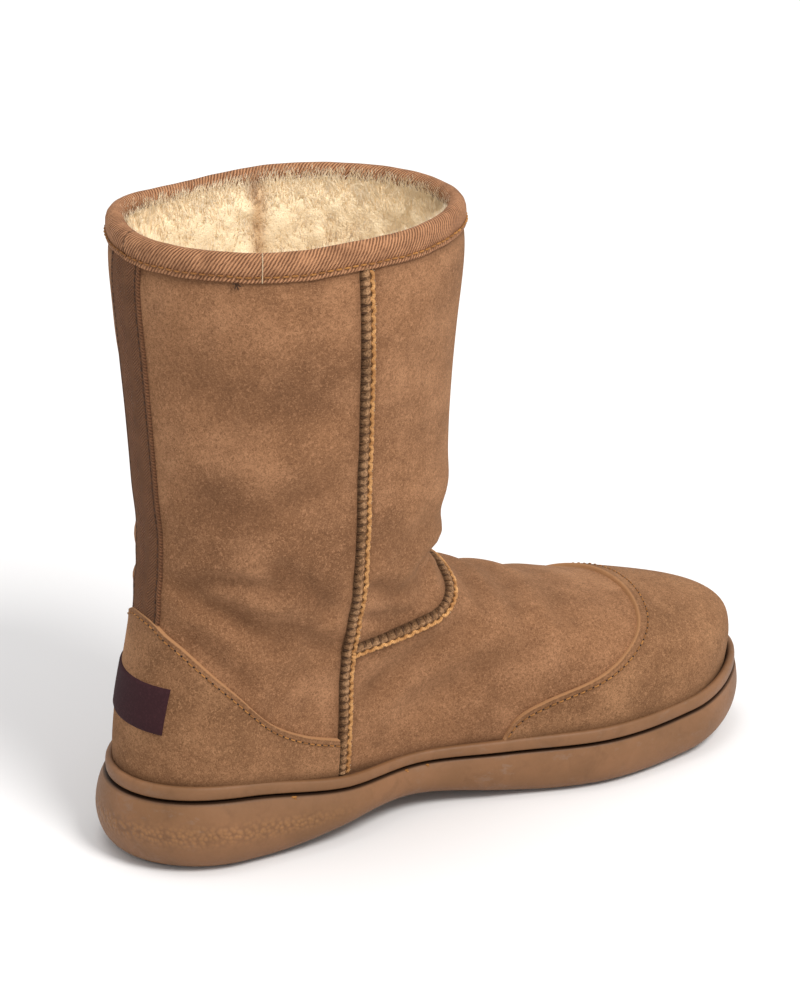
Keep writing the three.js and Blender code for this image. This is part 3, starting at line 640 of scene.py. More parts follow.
def threads(starts, ends, lifts, radius, height, tone, sides=6, segments=6):
    """Short arched threads from starts to ends, all in one part."""
    count = len(starts)
    k = np.linspace(0, 1, segments + 1)
    arch = np.sin(k * math.pi)
    straight = mix(starts[:, None], ends[:, None], k[None, :, None])
    centre = straight + lifts[:, None] * (arch * height)[None, :, None]
    along = unit(np.gradient(centre, axis=1))
    up = unit(lifts[:, None] - along * np.sum(along * lifts[:, None], -1, keepdims=True))
    side = np.cross(along, up)
    thick = radius * np.sqrt(np.clip(1 - (2 * k - 1) ** 6, 0.08, 1))
    angle = np.linspace(0, 2 * math.pi, sides, endpoint=False)
    ring = up[:, :, None] * np.cos(angle)[:, None] + side[:, :, None] * np.sin(angle)[:, None]
    verts = centre[:, :, None] + ring * thick[None, :, None, None]
    one = grid_faces(segments + 1, sides, wrap=True)
    per = (segments + 1) * sides
    faces = (one[None] + (np.arange(count) * per)[:, None, None]).reshape(-1, 4)
    caps = []
    for ring_at, flip in ((0, False), (segments, True)):
        cap = ring_at * sides + np.arange(sides)
        caps.append((cap[::-1] if flip else cap)[None] + (np.arange(count) * per)[:, None])
    uv = np.zeros((count, segments + 1, sides, 2))
    uv[..., 0] = k[None, :, None]
    uv[..., 1] = np.arange(sides)[None, None] / sides
    return dict(
        verts=verts,
        faces=[outward(verts, faces, ring), np.concatenate(caps)],
        tone=np.repeat(np.broadcast_to(tone, count), per),
        uv=uv,
    )


def stitch_row(points, normals, length, gap, radius, sink=0.1):
    """A row of straight stitches along a path."""
    centre, lift = resample(points, normals, length + gap, start=gap)
    along, _ = frames(centre, lift)
    centre = centre + lift * (rng.normal(0, 0.05, (len(centre), 1)) - sink)
    half = along * (length / 2)
    return threads(centre - half, centre + half, lift, radius, radius * 1.1, rng.uniform(0.2, 1, len(centre)))


# Materials
def tint(code):
    parts = [int(code[n:n + 2], 16) / 255 for n in (0, 2, 4)]
    return [c / 12.92 if c <= 0.04045 else ((c + 0.055) / 1.055) ** 2.4 for c in parts] + [1.0]


class Nodes:
    """A small builder for one material's nodes."""

    def __init__(self, name):
        self.material = bpy.data.materials.new(name)
        self.material.use_nodes = True
        self.tree = self.material.node_tree
        self.shader = self.tree.nodes["Principled BSDF"]
        self.object = self.add("ShaderNodeTexCoord").outputs["Object"]

    def add(self, kind, **settings):
        node = self.tree.nodes.new(kind)
        for key, value in settings.items():
            setattr(node, key, value)
        return node

    def link(self, source, target):
        if isinstance(source, (int, float, list, tuple)):
            target.default_value = source
        else:
            self.tree.links.new(source, target)

    def fill(self, node, **values):
        """Sets or links a node's sockets, each by its name."""
        for key, value in values.items():
            self.link(value, node.inputs[key.replace("_", " ")])
        return node

    def noise(self, scale, detail=2.0, rough=0.5, stretch=None, distortion=0.0):
        vector = self.object
        if stretch:
            vector = self.fill(self.add("ShaderNodeMapping"), Scale=stretch, Vector=vector).outputs["Vector"]
        node = self.add("ShaderNodeTexNoise")
        self.fill(node, Scale=scale, Detail=detail, Roughness=rough, Distortion=distortion, Vector=vector)
        return node.outputs["Fac"]

    def math(self, operation, a, b=0.0):
        node = self.add("ShaderNodeMath", operation=operation)
        self.link(a, node.inputs[0])
        self.link(b, node.inputs[1])
        return node.outputs[0]

    def sine(self, value, pitch):
        """A sine that repeats every pitch."""
        return self.math("SINE", self.math("MULTIPLY", value, 2 * math.pi / pitch))

    def remap(self, value, low, high, to_low=0.0, to_high=1.0):
        node = self.add("ShaderNodeMapRange")
        self.fill(node, Value=value, From_Min=low, From_Max=high, To_Min=to_low, To_Max=to_high)
        return node.outputs["Result"]

    def blend(self, a, b, factor):
        node = self.add("ShaderNodeMix", data_type="RGBA")
        return self.fill(node, Factor=factor, A=a, B=b).outputs["Result"]

    def layers(self, color, rows):
        """Lays colours on. A row is a colour, a value, its low and high ends, and the most laid."""
        for code, value, low, high, most in rows:
            color = self.blend(color, tint(code), self.remap(value, low, high, 0, most))
        return color

    def attribute(self, name):
        return self.add("ShaderNodeAttribute", attribute_name=name).outputs["Fac"]

    def uv(self):
        """The two parts of the piece's UV."""
        node = self.add("ShaderNodeSeparateXYZ")
        self.link(self.add("ShaderNodeUVMap", uv_map="UVMap").outputs["UV"], node.inputs[0])
        return node.outputs[0], node.outputs[1]

    def bump(self, height, distance, strength, under=None):
        node = self.fill(self.add("ShaderNodeBump"), Height=height, Distance=distance, Strength=strength)
        if under is not None:
            self.link(under, node.inputs["Normal"])
        return node.outputs["Normal"]

    def finish(self, color, roughness, **sockets):
        self.fill(self.shader, Base_Color=color, Roughness=roughness, **sockets)
        return self.material


def suede(name, light, mid, dark, edge, nap=1.0):
    """Brushed hide. The attribute tone paints shade into it, and mark shows the raw colour of a cut edge."""
    n = Nodes(name)
    fibres = n.noise(980, 4, 0.7, distortion=1.3)
    tufts = n.noise(2100, 3, 0.65, distortion=0.8)
    color = n.layers(tint(mid), [
        (dark, n.noise(19, 3, 0.55, distortion=0.5), 0.42, 0.64, 0.5),
        (light, n.noise(28, 3, 0.55, stretch=(1, 1, 1.3)), 0.46, 0.68, 0.5),
        (dark, n.noise(95, 4, 0.62), 0.52, 0.72, 0.34),
        (light, n.noise(130, 4, 0.62), 0.54, 0.74, 0.3),
        (dark, fibres, 0.49, 0.63, 0.62 * nap),
        (light, fibres, 0.48, 0.35, 0.58 * nap),
        (dark, tufts, 0.5, 0.66, 0.55 * nap),
        (light, n.noise(4200, 2, 0.6), 0.56, 0.76, 0.3 * nap),
        (dark, n.attribute("tone"), 0, 1, 1.0),
        (edge, n.attribute("mark"), 0, 1, 0.95),
    ])
    bump = n.bump(n.noise(240, 3, 0.6), 0.0003, 0.35)
    bump = n.bump(fibres, 0.0003 * nap, 0.8, under=bump)
    bump = n.bump(tufts, 0.00018 * nap, 0.8, under=bump)
    sheen = dict(Sheen_Weight=0.12, Sheen_Roughness=0.5, Sheen_Tint=tint("d9b084"))
    return n.finish(color, 0.95, Normal=bump, Specular_IOR_Level=0.12, **sheen)


def twill(name, light, dark, pitch, slant, herringbone=0.0):
    """Woven tape. UV is in millimetres along and across the tape."""
    n = Nodes(name)
    x, y = n.uv()
    across = n.math("PINGPONG", y, herringbone) if herringbone else y
    wobble = n.math("MULTIPLY", n.noise(500, 3), 0.9)
    ribs = n.math("ADD", n.math("ADD", x, n.math("MULTIPLY", across, slant)), wobble)
    warp = n.remap(n.sine(ribs, pitch), -1, 1)
    weft = n.remap(n.sine(n.math("SUBTRACT", y, n.math("MULTIPLY", x, 0.35)), 0.62), -1, 1)
    cloth = n.math("ADD", n.math("MULTIPLY", warp, 0.75), n.math("MULTIPLY", weft, 0.25))
    fibre = n.noise(2600, 2, 0.6)
    color = n.layers(tint(dark), [
        (light, cloth, 0.1, 0.8, 1),
        (light, n.noise(300, 3, 0.6), 0.5, 0.72, 0.5),
        (dark, n.noise(120, 3, 0.6), 0.45, 0.75, 0.5),
        (light, fibre, 0.5, 0.8, 0.4),
        # tone paints shade at the edges and furrows of the tape
        (dark, n.attribute("tone"), 0, 1, 0.85),
    ])
    bump = n.bump(fibre, 0.00012, 0.7, under=n.bump(cloth, 0.00045, 1.0))
    return n.finish(color, 0.88, Normal=bump, Specular_IOR_Level=0.15)


def thread(name, light, dark):
    """Twisted thread. UV runs along it and round it, and tone lightens it."""
    n = Nodes(name)
    x, y = n.uv()
    ply = n.sine(n.math("ADD", n.math("MULTIPLY", x, 2.2), y), 0.5)
    color = n.blend(tint(dark), tint(light), n.attribute("tone"))
    color = n.blend(color, tint(dark), n.remap(ply, -1, 0.2, 0.65, 0))
    color = n.layers(color, [(dark, n.noise(900, 2), 0.45, 0.75, 0.45)])
    return n.finish(color, 0.62, Normal=n.bump(ply, 0.00012, 0.8), Specular_IOR_Level=0.3)


def gum(name):
    """Tan sole rubber. mark is 1 where it is pebbled, and tone paints shade into it."""
    n = Nodes(name)
    cells = n.add("ShaderNodeTexVoronoi", feature="SMOOTH_F1")
    pebble = n.fill(cells, Scale=560, Smoothness=0.25, Vector=n.object).outputs["Distance"]
    where = n.attribute("mark")
    raised = n.math("MULTIPLY", n.remap(pebble, 0.0, 0.75, 1, 0), where)
    sunk = n.math("MULTIPLY", n.remap(pebble, 0.45, 0.8), n.math("MULTIPLY", where, 0.5))
    scuff = n.remap(n.noise(60, 6, 0.75, stretch=(1, 1, 2.2)), 0.56, 0.7, 0, 0.35)
    grain = n.noise(900, 3, 0.6)
    color = n.layers(tint("724f31"), [
        ("80593a", n.noise(40, 4, 0.6), 0.35, 0.7, 1),
        ("624227", n.noise(90, 4, 0.65, distortion=0.8), 0.52, 0.75, 0.5),
    ])
    color = n.blend(color, tint("82766c"), n.math("MULTIPLY", scuff, n.remap(n.noise(16, 2), 0.45, 0.62)))
    # Pebble tops are painted lighter and the gaps between them darker: painted highlight and shade
    color = n.blend(color, tint("a87743"), n.math("MULTIPLY", raised, 0.5))
    color = n.blend(color, tint("5c3b20"), sunk)
    color = n.layers(color, [("2b190d", n.attribute("tone"), 0, 1, 0.95)])
    bump = n.bump(grain, 0.00006, 0.6)
    bump = n.bump(n.noise(140, 3, 0.6), 0.0003, 0.35, under=bump)
    bump = n.bump(raised, 0.0006, 1.0, under=bump)
    return n.finish(color, n.remap(grain, 0.3, 0.7, 0.5, 0.66), Normal=bump, Specular_IOR_Level=0.35)


def fleece(name, root, body, tip):
    """Sheep's fleece. UV runs from root to tip, tone darkens it and mark whitens it."""
    n = Nodes(name)
    _, up = n.uv()
    color = n.layers(tint(root), [
        (body, up, 0.0, 0.55, 1),
        (tip, up, 0.45, 1.0, 1),
        (root, n.noise(60, 3, 0.6, stretch=(1, 1, 0.45)), 0.5, 0.75, 0.3),
        (root, n.noise(420, 3, 0.6, stretch=(1, 1, 0.4)), 0.54, 0.75, 0.35),
        ("b07c44", n.attribute("tone"), 0, 1, 0.8),
        ("ffeac6", n.attribute("mark"), 0, 1, 0.5),
    ])
    return n.finish(color, 0.95, Normal=n.bump(n.noise(700, 4, 0.7), 0.0008, 0.9), Specular_IOR_Level=0.05)


def label_weave(name):
    """Close cloth. UV is in millimetres across and up the label."""
    n = Nodes(name)
    x, y = n.uv()
    cloth = n.remap(n.math("MULTIPLY", n.sine(x, 0.55), n.sine(y, 0.4)), -1, 1)
    color = n.layers(tint("221014"), [("3f2226", cloth, 0, 1, 1), ("4c2d31", n.noise(900, 2), 0.5, 0.8, 0.4)])
    return n.finish(color, 0.85, Normal=n.bump(cloth, 0.00015, 0.7), Specular_IOR_Level=0.15)


SUEDE = suede("suede_body", "b18360", "8a6244", "593b27", "b98c60")
SUEDE_TRIM = suede("suede_overlay", "ac805c", "876043", "553924", "a67a54")
SEAM_HIDE = suede("suede_seam", "c59b74", "9b7350", "2c1a0e", "b98c60", nap=1.1)
TWILL = twill("binding_twill", "bb8863", "563522", 1.5, 0.62)
TAPE = twill("tape_twill", "7d553b", "4f3423", 1.3, 1.0, herringbone=4.0)
GOLD = thread("seam_thread", "dfa96c", "94602f")
BROWN = thread("stitch_thread", "cc8e4a", "7a4d24")
DARK = thread("tape_thread", "5a3b28", "33200f")
PALE = thread("join_thread", "e6cfae", "b9946a")
LOOP = thread("whip_thread", "9a6c41", "4a2f1a")
# Dark colour for the pricked holes: painted shade in them
HOLE = thread("pricked_holes", "2c1a0e", "201208")
GUM = gum("gum_rubber")
WOOL = fleece("fleece_pile", "f8dcae", "fff0d4", "fff8ea")
LABEL = label_weave("woven_label")

# The upper's hide
FINE_TURNS = np.linspace(0, 2, 2401)
RIM_TUCK = 1.5


def even_turns(count):
    """Turns that are evenly spaced round the foot."""
    ring = section_point(FINE_TURNS, 3.0) * 0.5 + section_point(FINE_TURNS, 10.0) * 0.5
    return evenly(ring, FINE_TURNS, ring_shares(count))


def even_heights(count, low=0.0, high=TOP):
    """Values of v that are evenly spaced up the boot."""
    fine = np.linspace(low, high, 600)
    return evenly(section_point(1.45, fine), fine, np.linspace(0, 1, count))


def ring_arc(shares, v):
    """Turns at even shares of the way round the section at v."""
    return evenly(section_point(FINE_TURNS, v), FINE_TURNS, shares)


ring_turns = even_turns(300)
counter_line = smooth_line(COUNTER_EDGE, SIDE_SEAM_SETBACK - SEAM_WIDTH / 2 - GAP)
cap_line = smooth_line(TOE_CAP_EDGE, SOLE_LENGTH)
ankle_line = smooth_line(ANKLE_SEAM, SOLE_LENGTH)


def seam_distance(points):
    """How far a place is from the raised seams, for a tuck in the hide and a little painted shade beside
    them.
    """
    far = 99
    side = np.abs(points[..., 0] - SEAM_X)
    near_side = (points[..., 1] ** 2 > 100) & (points[..., 2] < BINDING_BOTTOM)
    ankle = line_distance(points[..., (0, 2)], ankle_line[::6])
    return np.minimum(np.where(near_side, side, far), np.where(points[..., 0] > SEAM_X - 2, ankle, far))


def rim_painted_shade(points):
    """Painted shade where the hide meets the rim of the sole."""
    above = points[..., 2] - rim_top(sole_share(points[..., 0]))
    return 0.6 * bell(np.maximum(above, 0), 3.0)


def hide_uv(turn, v):
    return np.stack([turn * 300, v * 20], -1)


def hide():
    turn, v = np.meshgrid(ring_turns, even_heights(132))
    points, normals = surface(turn, v)
    fold = soften(section_point(turn, v), normals)[1]
    away = seam_distance(points)
    points = points - normals * (0.7 * bell(away, 4.2))[..., None]
    # tone is painted shade: beside the seams, in the folds, along the rim of the sole and under the binding
    under_binding = 0.6 * bell(np.maximum(BINDING_BOTTOM - points[..., 2], 0), 2.5)
    tone = np.maximum.reduce([0.5 * bell(away, 4.5), 0.34 * fold, rim_painted_shade(points), under_binding])
    outer = sheet(points, normals, True, uv=hide_uv(turn, v), tone=tone)
    turn, v = np.meshgrid(ring_turns[::3], even_heights(24))
    points, normals = surface(turn, v, -UPPER_WALL)
    inner = sheet(points, -normals, True, uv=hide_uv(turn, v))
    piece("suede_upper", [outer, inner], SUEDE, ["upper"])


hide()

# Suede overlays: rows up to the edge's zone, and rows within it at distances from the edge
OVERLAY_ROWS = 34
COUNTER_COLUMNS, CAP_COLUMNS = 181, 201
EDGE_ZONE = 1.6
EDGE_ROWS = np.array([1.3, 0.95, 0.7, 0.45, 0.25, 0.1, 0])[:, None]
EDGE_RADIUS = 0.5
EDGE_SINK = -0.2
EDGE_STITCH_INSET = 2.6
EDGE_STITCH, EDGE_STITCH_GAP = 2.3, 1.0


def overlay(node, line, side_turns, count, low, high):
    """A suede piece from under the rim up to a side-view line, with a rounded edge."""
    base = side_turns(np.full(count, 0.5))
    v_low = height_v(base, rim_top(sole_share(section_point(base, 0.5)[..., 0])) - RIM_TUCK)

    def above(v):
        p = section_point(side_turns(v), v)
        return p[..., 2] > line_height(line, p[..., 0])

    v_high = np.maximum(bisect(np.full(count, low), np.full(count, high), above), v_low + 0.02)
    span = surface(side_turns(v_high), v_high)[0] - surface(side_turns(v_low), v_low)[0]
    tall = np.maximum(np.linalg.norm(span, axis=-1), 0.5)
    fractions = np.linspace(0, 1, OVERLAY_ROWS)[:, None] * (1 - np.minimum(EDGE_ZONE / tall, 0.5))
    t = np.concatenate([fractions, 1 - EDGE_ROWS / tall * np.minimum(tall / 3, 1)])
    v = mix(v_low, v_high, t)
    distance = (1 - t) * tall
    k = np.clip(distance / EDGE_RADIUS, 0, 1)
    proud = GAP + OVERLAY_THICKNESS * np.sqrt(np.clip(1 - (1 - k) ** 2, 0, 1))
    turn = side_turns(v)
    points, normals = surface(turn, v, np.where(t >= 1, EDGE_SINK, proud))
    # tone: painted shade along the rim and the stitch line, and a thin darker line just inside the cut edge
    stitch_line_shade = 0.4 * bell(distance - EDGE_STITCH_INSET, 0.8)
    tone = np.maximum.reduce([rim_painted_shade(points), stitch_line_shade, 0.3 * bell(distance - 0.9, 0.35)])
    mark = np.exp(-((distance / 0.42) ** 4))
    part = sheet(points, normals, uv=hide_uv(turn, v), tone=tone, mark=mark)
    piece(node + "_suede", [part], SUEDE_TRIM, [node])
    return side_turns, v_low, v_high


def counter_turns(v):
    """Turns across the heel counter, between the side seams."""
    fractions = np.linspace(-1, 1, COUNTER_COLUMNS)
    v = np.broadcast_to(v, np.broadcast_shapes(np.shape(v), fractions.shape))
    return np.mod(fractions * turn_at(SEAM_X - SEAM_WIDTH / 2 - GAP, 1, v), 2)


def cap_turns(v):
    """Turns across the toe cap, round the toes."""
    fractions = np.linspace(-1, 1, CAP_COLUMNS)
    low_ring = np.full(np.broadcast_shapes(np.shape(v), fractions.shape), 0.8)
    return 1 + fractions * (1 - turn_at(cap_line[0, 0] - 1, 1, low_ring))


def edge_stitches(name, side_turns, v_low, v_high):
    """Stitches along the upper edge of an overlay, each between two pricked holes."""
    span = section_point(side_turns(v_high), v_high) - section_point(side_turns(v_low), v_low)
    tall = np.maximum(np.linalg.norm(span, axis=-1), 0.5)
    keep = tall > EDGE_STITCH_INSET + 1
    v = mix(v_low, v_high, 1 - EDGE_STITCH_INSET / tall)
    points, normals = surface(side_turns(v), v, GAP + OVERLAY_THICKNESS)
    points, normals = points[keep], normals[keep]
    piece(name, [stitch_row(points, normals, EDGE_STITCH, EDGE_STITCH_GAP, 0.3)], BROWN)
    step = EDGE_STITCH + EDGE_STITCH_GAP
    centre, lift = resample(points, normals, step, start=EDGE_STITCH_GAP + step / 2)
    along, _ = frames(centre, lift)
    # Dark discs sunk in the hide stand in for the pricked holes: painted shade
    centre = centre - lift * 0.25
    holes = threads(centre - along * 0.55, centre + along * 0.55, lift, 0.42, 0.0, 0.0)
    piece(name + "_holes", [holes], HOLE)


counter = overlay("heel_counter", counter_line, counter_turns, COUNTER_COLUMNS, 0.3, 8.5)
toe_cap = overlay("toe_cap", cap_line, cap_turns, CAP_COLUMNS, 0.1, 7.0)
edge_stitches("counter_stitches", *counter)
edge_stitches("toe_cap_stitches", *toe_cap)

# Raised seams. Rows of the section: place across, rise, how far it swells, and painted shade
STITCH_PITCH = 3.5
SEAM_STEP = 0.42
SEAM_SECTION = np.array([
    [-1.0, -0.94, -0.8, -0.62, -0.42, -0.2, 0.05, 0.3, 0.5, 0.66, 0.8, 0.9],
    [-0.5, 0.25, 1.0, 1.6, 1.95, 2.1, 2.05, 1.75, 1.35, 0.9, 0.4, -0.4],
    [0, 0.4, 0.9, 1.0, 0.75, 0.45, 0.25, 0.2, 0.2, 0.2, 0.1, 0],
    [1, 1, 0.85, 0.4, 0.15, 0.05, 0.05, 0.1, 0.2, 0.3, 0.5, 0.7],
])
SEAM_SINK = -0.2
LOOP_RADIUS, CHAIN_RADIUS, HAIR_RADIUS = 0.42, 0.78, 0.13
HAIRS_PER_STITCH = 7


def seam(name, points, normals, flip=False):
    """A whip-stitched seam: the hide puffs up between the stitches, and a chain runs along one edge."""
    points, normals = resample(points, normals, SEAM_STEP)
    along, across = frames(points, normals)
    if flip:
        across = -across
    run = np.arange(len(points)) * SEAM_STEP
    drift = 0.5 * np.sin(run / 17) + 0.3 * np.sin(run / 7.3 + 1)
    puff = 0.5 + 0.5 * np.cos((run + drift) * 2 * math.pi / STITCH_PITCH)
    half = SEAM_WIDTH / 2
    place, rise, swell, painted_shade = SEAM_SECTION
    flat = place * half
    shape = rise * (1 - 0.6 * swell * (1 - puff)[:, None])
    shape = shape + rng.normal(0, 0.05, shape.shape) * (rise > 0)
    verts = points[:, None] + across[:, None] * flat[None, :, None] + normals[:, None] * shape[..., None]
    # Painted shade at the ridge's edges and in the dips between the puffs
    tone = np.clip(painted_shade * 0.7 + swell * 0.7 * (1 - puff)[:, None] ** 2, 0, 1)
    ridge = sheet(verts, normals[:, None], tone=tone, uv=uv_grid(run[:, None], flat))
    at = np.arange(STITCH_PITCH / 2, run[-1] - 1, STITCH_PITCH)
    at = at - np.interp(at, run, drift)
    centre = pick(at, run, points)
    lift, go, side = (unit(pick(at, run, a)) for a in (normals, along, across))
    count = len(centre)
    slack = rng.normal(0, 0.16, (count, 1))
    dip = centre - side * (half * 0.95) + lift * 0.15 + go * slack
    top = centre - side * (half * 0.1) + lift * 1.6 + go * (0.5 + slack)
    end = centre + side * (half * 0.62) + lift * 1.15 + go * (1.1 + slack)
    loops = [
        threads(dip, top, unit(lift - side * 0.8), LOOP_RADIUS, 0.25, rng.uniform(0.0, 0.5, count)),
        threads(top, end, unit(lift + side * 0.5), LOOP_RADIUS, 0.2, rng.uniform(0.2, 0.7, count)),
    ]
    chain = []
    for half_step, near, far in ((0.0, 0.5, 0.98), (0.5, 0.98, 0.5)):
        shift = go * (half_step * STITCH_PITCH + slack)
        start = centre + side * (half * near) + lift * (1.45 - near * 0.5) - go * 1.3 + shift
        stop = centre + side * (half * far + slack) + lift * (1.45 - far * 0.5) + go * 1.3 + shift
        tone_of_stitches = rng.uniform(0.2, 1.0, count)
        chain.append(threads(start, stop, unit(lift + side * 0.7), CHAIN_RADIUS, 0.7, tone_of_stitches))
    hairs = HAIRS_PER_STITCH * count
    spot = rng.integers(0, len(points), hairs)
    root = points[spot] + across[spot] * (half * 0.85) + normals[spot] * 0.5
    tip = root + across[spot] * rng.uniform(0.5, 1.6, (hairs, 1))
    tip = tip + normals[spot] * rng.uniform(0.2, 1.2, (hairs, 1))
    tip = tip + along[spot] * rng.normal(0, 0.5, (hairs, 1))
    fluff = threads(root, tip, normals[spot], HAIR_RADIUS, 0.2, 1.0, sides=3, segments=3)
    piece(name + "_loops", loops, LOOP)
    piece(name + "_ridge", [ridge], SEAM_HIDE, [name])
    piece(name + "_thread", chain, GOLD)
    piece(name + "_fluff", [fluff], PALE)


def side_seam(name, side):
    v = even_heights(220, 0.2, float(height_v(1.4, BINDING_BOTTOM + 1.0)))
    points, normals = surface(turn_at(SEAM_X, side, v), v, SEAM_SINK)
    keep = points[:, 2] > rim_top(sole_share(points[:, 0])) - 0.6
    seam(name, points[keep], normals[keep], flip=side > 0)


side_seam("side_seam_inner", -1)
side_seam("side_seam_outer", 1)


def ankle_seam():
    """From one side seam over the instep to the other, along a line in side view."""
    start_x = SEAM_X + SEAM_WIDTH / 2

    def crossing(turn, high):
        def above(v):
            p = section_point(turn(v), v)
            return p[..., 2] > line_height(ankle_line, p[..., 0])

        return float(bisect(4.5, high, above))

    v_side = crossing(lambda v: turn_at(start_x, 1, v), 8.5)
    v_front = crossing(np.ones_like, 9.5)
    v = mix(v_side, v_front, 1 - (1 - np.linspace(0, 1, 120)) ** 2)

    def below(q):
        p = section_point(q, v)
        return p[..., 2] < line_height(ankle_line, p[..., 0])

    q = bisect(turn_at(start_x - 3, 1, v), np.ones_like(v), below)
    q[-1] = 1.0
    turn = np.concatenate([q, (2 - q)[::-1][1:]])
    points, normals = surface(turn, np.concatenate([v, v[::-1][1:]]), SEAM_SINK)
    kernel = np.ones(9) / 9
    for _ in range(2):
        padded = np.pad(points, ((4, 4), (0, 0)), mode="reflect", reflect_type="odd")
        points = np.stack([np.convolve(padded[:, n], kernel, mode="valid") for n in range(3)], -1)
    seam("ankle_seam", points, normals, flip=True)


ankle_seam()

# Tape up the back. Half of its section: place across, rise and painted shade, with a sewn furrow near the
# edge
TAPE_SECTION = [
    (1, -0.3, 0.9), (0.985, 0.55, 0.3), (0.95, 1, 0), (0.86, 1, 0.1), (0.82, 0.72, 0.7), (0.78, 1, 0.2),
    (0.7, 1, 0), (0.5, 1, 0), (0.25, 1, 0), (0, 1, 0.1),
]
TAPE_FURROW = 4
TAPE_BOTTOM = 92


def back_tape():
    section = np.concatenate([np.array(TAPE_SECTION) * [-1, 1, 1], TAPE_SECTION[-2::-1]])
    offsets = section[:, 0] * STRIP_WIDTH / 2
    rise = section[:, 1] * STRIP_THICKNESS + GAP * 0.3
    z = np.linspace(TAPE_BOTTOM, BINDING_BOTTOM + 2, 150)
    columns = [surface(*back_place(offset, z), lift) for offset, lift in zip(offsets, rise)]
    points, normals = (np.stack(grid, 1) for grid in zip(*columns))
    # Painted shade at the tape's edges and in its sewn furrows
    tone = np.broadcast_to(section[:, 2], points.shape[:2])
    part = sheet(points, normals, uv=uv_grid(z[:, None], offsets), tone=tone)
    piece("back_tape", [part], TAPE, ["back_strip"])
    furrows = (TAPE_FURROW, len(offsets) - 1 - TAPE_FURROW)
    rows = [stitch_row(points[:, n], normals[:, n], 2.0, 0.8, 0.28, sink=0.0) for n in furrows]
    piece("back_tape_stitches", rows, DARK)


back_tape()

# Binding over the collar: height over its lower edge or depth under the top, how far out, and painted shade
BINDING_OUTSIDE = [
    (0, 0.1, 0.9), (-0.1, 1.1, 0.3), (0.6, 1.5, 0), (1.6, 1.5, 0.25), (2.1, 1.35, 0.6), (2.7, 1.6, 0.25),
    (4.5, 2.1, 0), (6.6, 2.3, 0), (8.4, 2.0, 0), (9.8, 1.1, 0),
]
BINDING_OVER = [
    (0.25, -0.3, 0), (0, -1.6, 0), (0.3, -2.9, 0), (1.3, -4.2, 0), (2.8, -4.9, 0), (5.0, -5.1, 0),
    (BINDING_INSIDE_DROP, -4.6, 0.6), (BINDING_INSIDE_DROP, -3.2, 0.9),
]
BINDING_STITCHED, BINDING_WIDEST, BINDING_CREST = 4, 7, 11
JOIN_SECTION = [(-0.22, -0.2), (-0.2, 0.15), (0, 0.28), (0.2, 0.15), (0.22, -0.2)]
JOIN_TURN, KNOT_TURN = 1.822, 1.847
KNOT_ENDS = np.array([[1.6, -0.9, -1.4], [-1.2, -1.0, -2.0], [0.4, -0.8, -2.6], [-2.0, -0.6, 0.2]])


def binding():
    count = 420
    turn = ring_arc(ring_shares(count), TOP - 0.3)
    section = [(BINDING_BOTTOM + up, proud, tone) for up, proud, tone in BINDING_OUTSIDE]
    section += [(BOOT_HEIGHT - down, proud, tone) for down, proud, tone in BINDING_OVER]
    section = np.array(section)
    way = 2 * math.pi * ring_shares(count)
    wave = 0.2 * np.sin(way * 7) + 0.14 * np.sin(way * 17 + 1) + 0.1 * np.sin(way * 31)
    rings = []
    for z, proud, _ in section:
        points, normals = surface(turn, height_v(turn, min(z, UPPER_TOP)), proud)
        rise = z - min(z, UPPER_TOP) + wave * (0.8 if z < BINDING_BOTTOM + 3 else 0.35)
        rings.append((points + UP * rise[:, None], normals))
    points, norms = (np.stack(grid) for grid in zip(*rings))
    uv = uv_grid(length_along(points[BINDING_WIDEST]), length_along(section[:, :2])[:, None])
    outside = np.where(np.arange(len(section)) < BINDING_CREST, 1, -1)[:, None, None]
    out = unit(points - points.mean(1, keepdims=True)) * [1, 1, 0] * outside + UP * 0.2
    # Painted shade at the binding's lower edges and in the stitched furrow
    tone = np.broadcast_to(section[:, 2:], points.shape[:2])
    part = sheet(points, out, True, uv=uv, tone=tone)
    piece("collar_binding_tape", [part], TWILL, ["collar_binding"])
    closed = [np.concatenate([a[BINDING_STITCHED], a[BINDING_STITCHED][:1]]) for a in (points, norms)]
    stitches = stitch_row(*closed, 2.7, 0.8, 0.45, sink=-0.12)
    shine = np.clip(np.sin(np.arange(len(stitches["tone"])) / 1400.0) * 1.2, 0, 1)
    stitches["tone"] = stitches["tone"] * mix(0.25, 1.0, shine)
    piece("collar_binding_stitches", [stitches], BROWN)
    join = int(np.argmin(np.abs(turn - JOIN_TURN)))
    facing = norms[BINDING_STITCHED][join]
    path = points[:13, join] + facing * 0.25
    path = resample(path, np.broadcast_to(facing, path.shape), 0.5)
    piece("collar_join_thread", [sweep(*path, frames(*path)[1], JOIN_SECTION, tone=0.8)], PALE)
    knot = int(np.argmin(np.abs(turn - KNOT_TURN)))
    facing = norms[1, knot]
    root = np.repeat(points[1, knot][None] + facing * 0.2, len(KNOT_ENDS), 0)
    tail = threads(root, root + KNOT_ENDS, np.broadcast_to(facing, root.shape), 0.26, 0.5, 0.4)
    piece("collar_knot", [tail], DARK)


binding()


